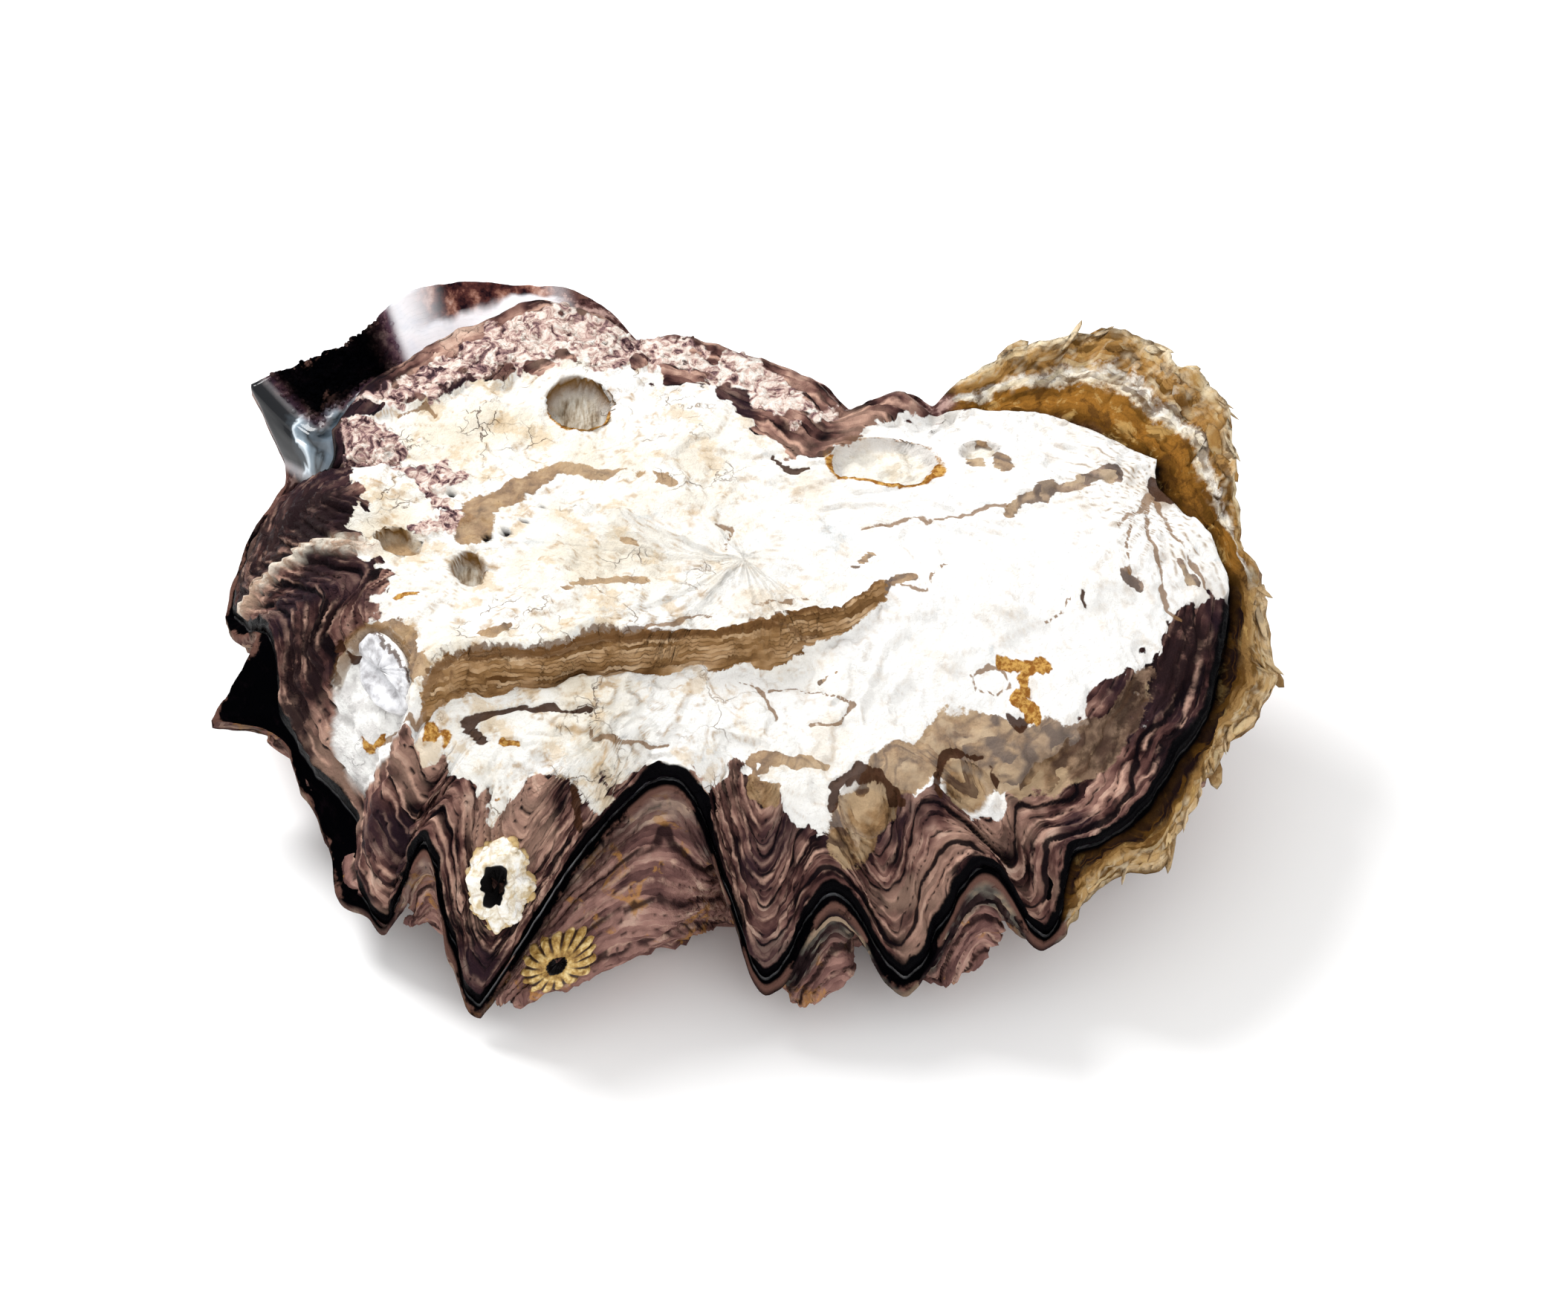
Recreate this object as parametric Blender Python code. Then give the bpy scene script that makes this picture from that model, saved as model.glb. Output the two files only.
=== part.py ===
"""A pleated oyster with both valves, lying on the flat scar where it was cemented to its rock.

The hinge is at +X, the wide pleated margin is at -X and -Y, and +Z is up.
Lengths are in millimetres until a mesh is made, which turns them into metres.
"""

import math

import bmesh
import bpy
import numpy as np
from mathutils import Matrix, Vector, geometry
from mathutils.bvhtree import BVHTree

MM = 0.001

# The margin, anticlockwise from the right.
# Each station has the upper valve's edge, the lower valve's lip outside it, and how sharp the corner is there.
SMOOTH, BLUNT, POINTED = 0.0, 0.55, 1.0
STATIONS = [
    # The hinge end: a beak, with the golden ligament hollow of the lower valve standing up behind it.
    ((49.5, -2.0, 25.0), (54.0, 3.5, 20.0), SMOOTH),
    ((48.5, 2.5, 27.5), (52.0, 6.5, 26.0), SMOOTH),
    ((46.5, 6.0, 29.0), (51.5, 11.0, 30.0), SMOOTH),
    ((42.5, 10.0, 30.0), (50.5, 14.5, 33.0), SMOOTH),
    ((43.0, 13.0, 31.5), (49.5, 18.5, 35.0), POINTED),
    ((39.5, 14.5, 31.5), (47.0, 22.5, 36.0), SMOOTH),
    ((33.0, 18.5, 32.0), (38.5, 27.5, 36.5), SMOOTH),
    ((28.5, 19.5, 32.0), (31.0, 27.0, 35.5), SMOOTH),
    ((24.0, 20.0, 32.0), (24.5, 25.5, 33.5), SMOOTH),
    # The low crinkled back.
    ((20.0, 19.5, 31.5), (20.0, 23.0, 30.0), POINTED),
    ((16.0, 21.5, 33.0), (16.5, 24.5, 30.0), SMOOTH),
    ((10.5, 20.5, 31.0), (11.0, 23.5, 29.0), POINTED),
    ((6.5, 24.0, 33.0), (7.0, 27.5, 29.5), SMOOTH),
    ((-0.5, 27.0, 33.5), (0.0, 30.5, 29.0), SMOOTH),
    ((-6.5, 30.0, 33.5), (-6.5, 33.5, 29.5), SMOOTH),
    ((-11.5, 30.0, 32.5), (-11.5, 34.0, 29.0), POINTED),
    ((-16.0, 33.0, 34.0), (-17.0, 37.0, 33.0), SMOOTH),
    ((-22.5, 35.0, 34.0), (-24.0, 37.5, 34.0), SMOOTH),
    # The back left corner, where the lip of the cup stands proud and shows its lining.
    ((-28.0, 32.5, 33.5), (-30.0, 37.5, 34.5), SMOOTH),
    ((-33.5, 28.5, 33.5), (-36.0, 33.5, 36.5), SMOOTH),
    ((-38.5, 23.5, 33.5), (-42.0, 28.5, 34.5), SMOOTH),
    ((-41.5, 19.5, 33.0), (-48.5, 27.0, 31.5), SMOOTH),
    ((-43.0, 16.5, 32.0), (-52.5, 25.0, 31.0), POINTED),
    ((-43.0, 14.0, 30.0), (-49.5, 21.5, 25.5), SMOOTH),
    # The left pleats: a scooped lobe, a high crest, then a long flank with a broad lip.
    ((-46.5, 15.0, 25.0), (-49.0, 19.5, 22.0), SMOOTH),
    ((-52.0, 14.5, 18.5), (-53.0, 16.5, 17.0), SMOOTH),
    ((-54.5, 9.5, 13.0), (-55.5, 10.0, 11.5), POINTED),
    ((-52.0, 2.5, 18.0), (-53.5, 3.0, 15.5), SMOOTH),
    ((-48.5, -5.5, 24.5), (-50.0, -4.5, 22.5), SMOOTH),
    ((-47.5, -9.5, 18.0), (-55.5, -6.0, 12.0), POINTED),
    ((-45.5, -12.5, 15.0), (-49.0, -5.5, 9.5), SMOOTH),
    ((-43.0, -15.5, 14.0), (-46.5, -11.5, 8.5), SMOOTH),
    ((-39.0, -21.0, 12.5), (-43.0, -18.0, 7.5), SMOOTH),
    ((-39.0, -26.0, 9.5), (-41.5, -25.0, 6.5), SMOOTH),
    ((-38.0, -27.5, 8.5), (-38.5, -28.0, 7.0), SMOOTH),
    # The front pleats: tongues of the upper valve that come down between the ridges of the cup.
    ((-36.0, -29.0, 7.0), (-36.5, -29.5, 6.0), BLUNT),
    ((-31.5, -29.5, 20.0), (-31.5, -30.5, 18.0), SMOOTH),
    ((-29.0, -34.5, 10.0), (-29.5, -35.0, 8.5), SMOOTH),
    ((-26.5, -38.0, 5.0), (-26.5, -38.5, 3.5), BLUNT),
    ((-15.0, -28.5, 19.5), (-15.0, -29.5, 17.5), SMOOTH),
    ((-6.5, -26.5, 26.0), (-6.5, -27.5, 24.0), SMOOTH),
    ((-1.5, -31.0, 14.5), (-1.5, -32.0, 12.5), SMOOTH),
    ((1.0, -36.0, 9.5), (1.0, -37.0, 7.5), SMOOTH),
    ((3.0, -36.5, 8.5), (3.5, -37.5, 7.0), SMOOTH),
    ((9.0, -34.0, 17.5), (9.0, -35.0, 15.5), SMOOTH),
    ((14.5, -36.0, 9.0), (14.5, -37.0, 7.0), SMOOTH),
    ((17.5, -36.0, 9.0), (17.5, -37.0, 7.0), SMOOTH),
    ((23.5, -33.0, 20.5), (23.5, -34.0, 18.5), SMOOTH),
    ((29.0, -32.5, 10.5), (29.0, -33.5, 9.0), SMOOTH),
    ((31.0, -32.0, 10.5), (31.5, -33.0, 9.0), SMOOTH),
    # The right flank, where the cup's golden growth flakes reach past the upper valve.
    ((32.5, -30.5, 19.0), (34.0, -30.5, 9.5), SMOOTH),
    ((36.0, -29.0, 20.0), (36.5, -27.5, 11.5), SMOOTH),
    ((40.0, -25.5, 21.0), (42.5, -24.0, 11.0), SMOOTH),
    ((43.0, -20.5, 22.0), (45.0, -19.5, 13.5), SMOOTH),
    ((46.0, -16.0, 23.0), (49.0, -13.5, 14.5), SMOOTH),
    ((48.0, -10.0, 24.0), (54.5, -5.0, 16.0), SMOOTH),
]

MIDDLE = (0.0, -4.0)  # the rings of both valves close in on this point
COLUMN_PITCH = 3.4  # along the margin
CREST_HEIGHT = 17.0
TONGUE_HEIGHT = 6.0

# The upper valve.
EDGE_THICKNESS = 1.0
PLATE_THICKNESS = 3.0
SHOULDER = 0.74  # the share of the way out at which the plate starts to bend down
BEND_POWER = 1.7
VALVE_GAP = 0.5

# The ledge of an older layer that crosses the upper valve: its foot line, as x and y.
LEDGE = [
    (-60, -30), (-36, -25), (-30, -20), (-17, -17.5), (-5, -15.5), (4, -13.5), (11, -10), (17, -6), (30, 0), (60, 3),
]
LEDGE_HEIGHT = 3.8
LEDGE_RUN = 1.6
LEDGE_FADES = (2.0, 19.0)  # x where it starts to fade, and where it is gone

# Scars and pits in the upper face: x, y, half length, half width, turn in degrees, depth.
PITS = [
    (-17.5, 20.0, 3.0, 3.6, 10, 1.8),
    (14.5, 11.5, 5.8, 3.6, 0, 1.2),
    (24.5, 13.5, 2.2, 1.6, 10, 1.0),
    (-35.0, -1.0, 2.9, 1.5, -42, 1.8),
    (-27.7, -5.4, 1.7, 2.4, 15, 1.5),
    (-35.0, -15.2, 5.0, 3.3, -54, 1.8),
    (13.0, -26.0, 2.8, 2.6, 0, 1.0),
]

# The lower valve.
BASE_SIZE = (31.0, 20.0)  # half lengths of the flat scar that it rests on
BELLY_SIZE = (48.5, 35.0)  # half lengths of the widest part of the cup
BELLY_HEIGHT = 7.0
# Along the front: x, how far the cup swells there, at what height, and how much higher the lip counts.
# The pleats lean to the left as they go down.
FRONT_PLEATS = [
    (-36.5, 1.0, 7.0, 0.0), (-33.5, 1.0, 7.0, 4.0), (-30.5, 0.98, 7.0, 0.0), (-28.0, 0.95, 7.0, 0.0),
    (-25.0, 1.06, 5.5, 4.0), (-22.5, 1.09, 4.8, 9.0), (-18.0, 1.08, 5.0, 5.0), (-12.0, 1.01, 6.7, 0.0),
    (-6.5, 0.85, 9.0, -2.0), (-2.5, 0.66, 12.0, -4.0), (1.5, 0.90, 7.0, 0.0), (3.5, 0.97, 5.0, 4.0),
    (5.5, 0.97, 4.2, 8.0), (9.0, 0.95, 5.5, 3.0), (13.0, 0.86, 9.0, -2.0), (15.5, 0.92, 7.0, 0.0),
    (18.5, 0.99, 5.5, 5.0), (20.5, 1.0, 5.0, 8.0), (25.0, 0.98, 7.0, 2.0), (28.5, 0.94, 8.0, 0.0), (31.0, 1.0, 7.0, 0.0),
]
CHAMBER_FLOOR = 11.0
CHAMBER_SHARE = 0.74
LIP_THICKNESS = 1.1
HOLLOW_SAG = 2.6  # how far a raised lip dips on its way out


def smoothstep(low, high, value):
    share = np.clip((value - low) / (high - low), 0.0, 1.0)
    return share * share * (3.0 - 2.0 * share)


def curve_through(points, pointed, counts):
    """A closed curve through the points, with counts[i] steps after point i and a corner at each sharp one."""
    points = np.array(points, float)
    ahead = np.roll(points, -1, axis=0) - points
    behind = points - np.roll(points, 1, axis=0)
    sharp, evenly = np.array(pointed)[:, None], (ahead + behind) / 2
    leaving = evenly + (ahead - evenly) * sharp
    arriving = evenly + (behind - evenly) * sharp
    found = []
    for i, steps in enumerate(counts):
        j = (i + 1) % len(points)
        for t in np.arange(steps) / steps:
            found.append(
                (2 * t**3 - 3 * t**2 + 1) * points[i]
                + (t**3 - 2 * t**2 + t) * leaving[i]
                + (3 * t**2 - 2 * t**3) * points[j]
                + (t**3 - t**2) * arriving[j]
            )
    return np.array(found)


def margin_columns(pitch):
    """The upper valve's edge and the lower valve's lip, column by column."""
    edges = np.array([station[0] for station in STATIONS], float)
    lips = np.array([station[1] for station in STATIONS], float)
    pointed = [station[2] for station in STATIONS]
    spans = np.linalg.norm(np.roll(edges, -1, axis=0) - edges, axis=1)
    counts = np.maximum(1, np.round(spans / pitch)).astype(int)
    return curve_through(edges, pointed, counts), curve_through(lips, pointed, counts)


EDGE, LIP = margin_columns(COLUMN_PITCH)
COLUMNS = len(EDGE)


def softened(outline, reach=9.0):
    """The outline with its pleats averaged away, over that distance along it."""
    steps = np.linalg.norm(np.roll(outline, -1, axis=0) - outline, axis=1)
    along = np.concatenate([[0], np.cumsum(steps)])
    total = along[-1]
    away = np.abs(along[:-1, None] - along[None, :-1])
    away = np.minimum(away, total - away)
    weight = np.exp(-((away / reach) ** 2)) * (steps + np.roll(steps, 1))[None, :]
    return (weight @ outline) / weight.sum(axis=1, keepdims=True)


SOFT_EDGE = softened(EDGE[:, :2])


def ring(share):
    """Plan positions of the ring that lies this share of the way from the middle to the upper valve's edge."""
    middle = np.array(MIDDLE)
    pleats = smoothstep(0.5, 1.0, share)
    return middle + (SOFT_EDGE - middle) * share + (EDGE[:, :2] - SOFT_EDGE) * pleats


def beyond_ledge(x, y):
    """How far in front of the ledge's foot line a place is."""
    line = np.array(LEDGE, float)
    return np.interp(x, line[:, 0], line[:, 1]) - y


def crown(x):
    """The upper valve's plateau, highest left of the middle."""
    return 33.4 - 0.0009 * (x + 15.0) ** 2


def front_fall(x, y):
    ahead = np.maximum(beyond_ledge(x, y), 0.0)
    return 0.24 * ahead + 0.010 * ahead**2


def ledge_drop(x):
    return LEDGE_HEIGHT * (1.0 - smoothstep(*LEDGE_FADES, x))


def pit_depth(x, y):
    depth = np.zeros_like(x)
    for px, py, half_x, half_y, turn, deep in PITS:
        c, s = math.cos(math.radians(turn)), math.sin(math.radians(turn))
        along = ((x - px) * c + (y - py) * s) / half_x
        across = (-(x - px) * s + (y - py) * c) / half_y
        depth = np.maximum(depth, deep * (1.0 - smoothstep(0.72, 1.0, np.hypot(along, across))))
    return depth


def plate_top(x, y):
    x, y = np.asarray(x, float), np.asarray(y, float)
    step = smoothstep(-LEDGE_RUN, 0.0, beyond_ledge(x, y))
    return crown(x) - ledge_drop(x) * step - front_fall(x, y) - pit_depth(x, y)


def plate_underside(x, y):
    return crown(x) - ledge_drop(x) - front_fall(x, y) - PLATE_THICKNESS


def bend(share):
    return (max(share - SHOULDER, 0.0) / (1.0 - SHOULDER)) ** BEND_POWER


def upper_face(share):
    """A ring of the upper valve's outer face."""
    plan = ring(share)
    down = bend(share)
    height = plate_top(*plan.T) * (1 - down) + EDGE[:, 2] * down
    return np.column_stack([plan, height])


def upper_lining(share):
    """A ring of the upper valve's inner face."""
    plan = ring(share)
    down = bend(share)
    height = plate_underside(*plan.T) * (1 - down) + (EDGE[:, 2] - EDGE_THICKNESS) * down
    return np.column_stack([plan, height])


def lower_lining(share):
    """A ring of the lower valve's inner face: just under the upper valve, then down into the chamber."""
    found = upper_lining(share)
    found[:, 2] -= VALVE_GAP
    into = 1.0 - smoothstep(0.35, CHAMBER_SHARE, share)
    found[:, 2] = found[:, 2] * (1 - into) + CHAMBER_FLOOR * into
    return found


def lip_face(share):
    """A ring of the lower valve's bare lip, from under the upper valve's edge (0) out to the rim (1)."""
    start = lower_lining(1.0)
    found = start + (LIP - start) * share
    raised = smoothstep(2.5, 6.0, LIP[:, 2] - start[:, 2] + np.linalg.norm(LIP - start, axis=1) * 0.5)
    found[:, 2] -= HOLLOW_SAG * raised * math.sin(math.pi * share) * (1 - share * 0.5)
    return found


def oval(size, swell=1.0):
    """Where the line from the middle to each lip point crosses an oval round the middle."""
    out = LIP[:, :2] - np.array(MIDDLE)
    return np.array(MIDDLE) + out * (swell / np.hypot(out[:, 0] / size[0], out[:, 1] / size[1]))[:, None]


def pleat_lean():
    """How far the cup swells under each column, at what height, and how much higher the lip counts there."""
    plain = (1.0, BELLY_HEIGHT, 0.0)
    at, *columns = np.array(FRONT_PLEATS).T
    front = LIP[:, 1] < -20
    return [np.where(front, np.interp(LIP[:, 0], at, values), p) for values, p in zip(columns, plain)]


def cup_wall():
    """The outer face of the lower valve, from the rim down: ridges that swell out, and grooves under the tongues."""
    swelling, belly_height, lift = pleat_lean()
    crest = smoothstep(TONGUE_HEIGHT, CREST_HEIGHT, LIP[:, 2] + lift)[:, None]
    belly = np.column_stack([oval(BELLY_SIZE, swelling), belly_height])
    base = np.column_stack([oval(BASE_SIZE), np.zeros(COLUMNS)])
    rim = LIP - [0, 0, LIP_THICKNESS]
    rings = [rim]
    for down, groove_share in ((0.25, 0.93), (0.5, 0.86), (0.78, 0.80), (1.0, 0.76)):
        swell = 1.0 - (1.0 - down) ** 1.5
        ridge = np.column_stack([
            rim[:, :2] + (belly[:, :2] - rim[:, :2]) * swell,
            rim[:, 2] + (np.minimum(belly[:, 2], rim[:, 2] * 0.8) - rim[:, 2]) * down,
        ])
        groove = lower_lining(groove_share)
        groove[:, 2] -= 2.0
        groove[:, 2] = groove[:, 2] * (1 - down**2) + 3.0 * down**2
        rings.append(groove * (1 - crest) + ridge * crest)
    rings.append(base + (rings[-1] - base) * [0.45, 0.45, 0.3])
    rings.append(base)
    return rings


class Skin:
    """Collects the points and triangles of one closed body."""

    def __init__(self):
        self.points = []
        self.faces = []

    def add(self, points):
        first = len(self.points)
        self.points.extend(np.asarray(points, float).tolist())
        return np.arange(first, len(self.points))

    def band(self, outer, inner, flip=False):
        """Triangles between two rings of as many points, always split along the same diagonal."""
        following = np.roll(np.arange(len(outer)), -1)
        for i, j in enumerate(following):
            pair = ((outer[i], outer[j], inner[j]), (outer[i], inner[j], inner[i]))
            self.faces.extend(tuple(reversed(face)) if flip else face for face in pair)

    def fan(self, outline, hub, flip=False):
        following = np.roll(outline, -1)
        for a, b in zip(outline, following):
            self.faces.append((b, a, hub) if flip else (a, b, hub))

    def object(self, name, colour, roughness):
        mesh = bpy.data.meshes.new(name)
        mesh.from_pydata([Vector(p) * MM for p in self.points], [], [tuple(map(int, f)) for f in self.faces])
        work = bmesh.new()
        work.from_mesh(mesh)
        bmesh.ops.remove_doubles(work, verts=work.verts, dist=1e-7)
        bmesh.ops.recalc_face_normals(work, faces=work.faces)
        work.to_mesh(mesh)
        work.free()
        mesh.set_sharp_from_angle(angle=math.radians(50))
        made = bpy.data.objects.new(name, mesh)
        bpy.context.scene.collection.objects.link(made)
        material = bpy.data.materials.new(name)
        material.use_nodes = True
        shader = material.node_tree.nodes["Principled BSDF"]
        shader.inputs["Base Color"].default_value = (*colour, 1.0)
        shader.inputs["Roughness"].default_value = roughness
        mesh.materials.append(material)
        return made


def plan_map():
    """A flat mesh of the rings, to find out which column and which share a place in plan belongs to."""
    shares = np.linspace(0.2, 1.0, 41)
    corners, places, faces = [], [], []
    for share in shares:
        plan = ring(share)
        for column in range(COLUMNS + 1):
            corners.append(Vector((*plan[column % COLUMNS], 0.0)))
            places.append(Vector((column, share, 0.0)))
    across = COLUMNS + 1
    for row in range(len(shares) - 1):
        for column in range(COLUMNS):
            a = row * across + column
            faces.append((a, a + 1, a + across + 1))
            faces.append((a, a + across + 1, a + across))
    return BVHTree.FromPolygons(corners, faces), corners, places, faces


PLAN_TREE, PLAN_CORNERS, PLAN_PLACES, PLAN_FACES = plan_map()


def upper_height(x, y):
    """The height of the upper valve's outer face above a place in plan."""
    hit, _, face, _ = PLAN_TREE.ray_cast(Vector((x, y, 1.0)), Vector((0, 0, -1)))
    share, edge_height = 0.0, 0.0
    if hit is not None:
        a, b, c = PLAN_FACES[face]
        place = geometry.barycentric_transform(
            hit, PLAN_CORNERS[a], PLAN_CORNERS[b], PLAN_CORNERS[c], PLAN_PLACES[a], PLAN_PLACES[b], PLAN_PLACES[c]
        )
        share = place.y
        edge_height = np.interp(place.x, np.arange(COLUMNS + 1), np.append(EDGE[:, 2], EDGE[0, 2]))
    down = bend(share)
    return float(plate_top(x, y)) * (1 - down) + edge_height * down


def inside(outline, x, y):
    """Whether a place lies inside a closed outline, by counting the crossings of a line to the right."""
    following = np.roll(outline, -1, axis=0)
    spans = (outline[:, 1] > y) != (following[:, 1] > y)
    rise = np.where(spans, following[:, 1] - outline[:, 1], 1.0)
    crossing = outline[:, 0] + (y - outline[:, 1]) / rise * (following[:, 0] - outline[:, 0])
    return bool(np.sum(spans & (crossing > x)) % 2)


def oval_outline(pit, scale, steps):
    px, py, half_x, half_y, turn, _ = pit
    turned = math.radians(turn)
    angle = np.arange(steps) / steps * 2 * math.pi
    along = half_x * scale * np.cos(angle)
    across = half_y * scale * np.sin(angle)
    c, s = math.cos(turned), math.sin(turned)
    return np.column_stack([px + along * c - across * s, py + along * s + across * c])


def relief_patch(skin, outline):
    """Fills the upper face inside a ring, with edges along the ledge's foot and brink and round each pit."""
    border = np.array([skin.points[i][:2] for i in outline])
    points = [tuple(p) for p in border]
    edges = []

    def room(x, y, clearance):
        return np.min(np.hypot(*(np.array(points) - (x, y)).T)) > clearance

    def within(x, y, clearance):
        return inside(border, x, y) and np.min(np.hypot(*(border - (x, y)).T)) > clearance

    for pit in PITS:
        steps = 16 if max(pit[2:4]) > 4 else 12
        for scale in (1.0, 0.72):
            first = len(points)
            points.extend(tuple(p) for p in oval_outline(pit, scale, steps))
            edges.extend((first + i, first + (i + 1) % steps) for i in range(steps))

    line = np.array(LEDGE, float)
    for lift in (0.0, LEDGE_RUN):
        last = None
        for x in np.arange(-42.0, LEDGE_FADES[1] + 0.1, 2.6):
            y = float(np.interp(x, line[:, 0], line[:, 1])) + lift
            in_pit = any(inside(oval_outline(pit, 1.12, 24), x, y) for pit in PITS)
            if in_pit or not within(x, y, 1.2):
                last = None
                continue
            points.append((x, y))
            if last is not None:
                edges.append((last, len(points) - 1))
            last = len(points) - 1

    for share, pace, clearance in ((0.86, 1, 1.3), (0.78, 1, 1.6), (0.70, 2, 2.4)):
        for x, y in ring(share)[::pace]:
            if within(x, y, 1.0) and room(x, y, clearance):
                points.append((x, y))
    for row, y in enumerate(np.arange(-40.0, 40.0, 4.6)):
        for x in np.arange(-56.0, 56.0, 5.3) + (row % 2) * 2.65:
            if within(x, y, 2.5) and room(x, y, 3.0):
                points.append((x, y))

    flat = [Vector(p) for p in points]
    filled = geometry.delaunay_2d_cdt(flat, edges, [list(range(len(border)))], 1, 1e-5)
    corners, faces, origins = filled[0], filled[2], filled[3]
    index = []
    for corner, origin in zip(corners, origins):
        on_border = [i for i in origin if i < len(border)]
        if on_border:
            index.append(int(outline[on_border[0]]))
        else:
            index.append(int(skin.add([(corner.x, corner.y, upper_height(corner.x, corner.y))])[0]))
    skin.faces.extend(tuple(index[i] for i in face) for face in faces)


CONTACT_SHARES = (1.0, 0.94, 0.86, 0.74)


def upper_valve():
    skin = Skin()
    rim = skin.add(upper_face(1.0))
    brow = skin.add(upper_face(0.94))
    skin.band(rim, brow)
    relief_patch(skin, brow)
    lining = [skin.add(upper_lining(share)) for share in (*CONTACT_SHARES, 0.45)]
    skin.band(lining[0], rim)
    for outer, inner in zip(lining, lining[1:]):
        skin.band(outer, inner, flip=True)
    hub = skin.add([(*MIDDLE, float(plate_underside(*MIDDLE)))])[0]
    skin.fan(lining[-1], hub, flip=True)
    return skin


def lower_valve():
    skin = Skin()
    lining = [skin.add(lip_face(share)) for share in (1.0, 0.66, 0.33)]
    lining += [skin.add(lower_lining(share)) for share in (*CONTACT_SHARES, 0.55, 0.35)]
    for outer, inner in zip(lining, lining[1:]):
        skin.band(outer, inner)
    skin.fan(lining[-1], skin.add([(*MIDDLE, CHAMBER_FLOOR)])[0])
    wall = [lining[0]] + [skin.add(points) for points in cup_wall()]
    for outer, inner in zip(wall, wall[1:]):
        skin.band(outer, inner, flip=True)
    skin.fan(wall[-1], skin.add([(*MIDDLE, 0.0)])[0], flip=True)
    return skin


def tree_of(skin):
    return BVHTree.FromPolygons([Vector(p) for p in skin.points], [tuple(map(int, f)) for f in skin.faces])


PERCH_GAP = 0.45  # what is cemented on stands this far off the shell, so that the solids stay apart


def perched(host, centre, axis, turn, base_size, rings, ribs, rib_depth, steps=24):
    """A growth on the shell. Its rings are (share of the base, height along the axis) from its foot upwards."""
    axis = Vector(axis).normalized()
    start = Vector(centre) + axis * 8.0
    side = (Vector((1, 0, 0)) - axis * axis.x).normalized()
    side = Matrix.Rotation(math.radians(turn), 3, axis) @ side
    other = axis.cross(side)
    skin = Skin()

    def place(share, angle):
        swell = 1.0 + rib_depth * (abs(math.cos(angle * ribs / 2)) - 0.5)
        u = base_size[0] * share * math.cos(angle) * swell
        v = base_size[1] * share * math.sin(angle) * swell
        return start + side * u + other * v

    def footing(share, angle):
        origin = place(share, angle)
        hit = host.ray_cast(origin, -axis)[0]
        return hit + axis * PERCH_GAP

    angles = [2 * math.pi * i / steps for i in range(steps)]
    soles = []
    for share in (1.0, 0.75, 0.5, 0.25):
        soles.append(skin.add([footing(share, angle) for angle in angles]))
    sole_hub = skin.add([footing(0.0, 0.0)])[0]
    seat = float(np.mean([(Vector(skin.points[i]) - start).dot(axis) for i in soles[1]]))
    walls = [soles[0]]
    for share, height in rings:
        low = 1.0 - smoothstep(0.0, 3.0, height)
        points = []
        for angle, foot in zip(angles, soles[0]):
            level = (Vector(skin.points[foot]) - start).dot(axis)
            here = (footing(share, angle) - start).dot(axis)
            level = max(seat + (level - seat) * float(low) + height, here + min(height, 0.4))
            points.append(place(share, angle) + axis * level)
        walls.append(skin.add(points))
    top = np.mean([skin.points[i] for i in walls[-1]], axis=0)
    top_hub = skin.add([top])[0]
    for outer, inner in zip(walls, walls[1:]):
        skin.band(outer, inner)
    skin.fan(walls[-1], top_hub)
    for outer, inner in zip(soles, soles[1:]):
        skin.band(outer, inner, flip=True)
    skin.fan(soles[-1], sole_hub, flip=True)
    return skin


def build():
    for old in list(bpy.data.objects):
        bpy.data.objects.remove(old, do_unlink=True)
    upper, lower = upper_valve(), lower_valve()
    upper_tree, lower_tree = tree_of(upper), tree_of(lower)
    white = perched(
        upper_tree, (-24.0, -33.0, 17.0), (-0.1, -0.80, 0.60), 0, (3.2, 4.4),
        ((1.0, 0.6), (0.88, 1.6), (0.7, 2.8), (0.52, 3.6), (0.40, 3.4), (0.30, 1.2)), 8, 0.14,
    )
    gold = perched(
        lower_tree, (-18.0, -36.0, 9.2), (0.0, -0.88, 0.47), 35, (3.0, 2.3),
        ((1.0, 0.4), (0.85, 1.2), (0.62, 2.0), (0.34, 2.4), (0.22, 1.6)), 14, 0.16, 28,
    )
    young = perched(
        upper_tree, (-35.0, -15.2, 28.5), (-0.45, -0.35, 0.82), -54, (3.3, 2.1),
        ((1.0, 0.7), (0.92, 1.1), (0.78, 0.8), (0.4, 0.5)), 3, 0.06,
    )
    bodies = [
        (upper, "upper_valve", (0.78, 0.73, 0.68), 0.7),
        (lower, "lower_valve", (0.42, 0.30, 0.26), 0.5),
        (white, "white_barnacle", (0.80, 0.78, 0.72), 0.6),
        (gold, "gold_barnacle", (0.62, 0.42, 0.17), 0.5),
        (young, "young_oyster_valve", (0.74, 0.74, 0.76), 0.25),
    ]
    corners = np.concatenate([np.array(skin.points) for skin, *_ in bodies])
    low, high = corners.min(axis=0), corners.max(axis=0)
    shift = np.array([-(low[0] + high[0]) / 2, -(low[1] + high[1]) / 2, -low[2]])
    for skin, name, colour, roughness in bodies:
        skin.points = (np.array(skin.points) + shift).tolist()
        made = skin.object(name, colour, roughness)
        print(name, len(made.data.polygons), "triangles")
    print("size in mm", np.round(high - low, 2), "shift", np.round(shift, 3))


build()
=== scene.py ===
# %% [markdown]
# # A cockscomb oyster, both valves
# The oyster lies on the flat scar where it was cemented to its rock.
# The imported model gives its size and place, and everything below dresses that frame.
# Lengths are in millimetres until a mesh is made, because the relief of a shell is read in tenths of a millimetre.

# %% Frame
import math

import bpy
import numpy as np
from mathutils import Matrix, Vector
from mathutils.bvhtree import BVHTree


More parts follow.
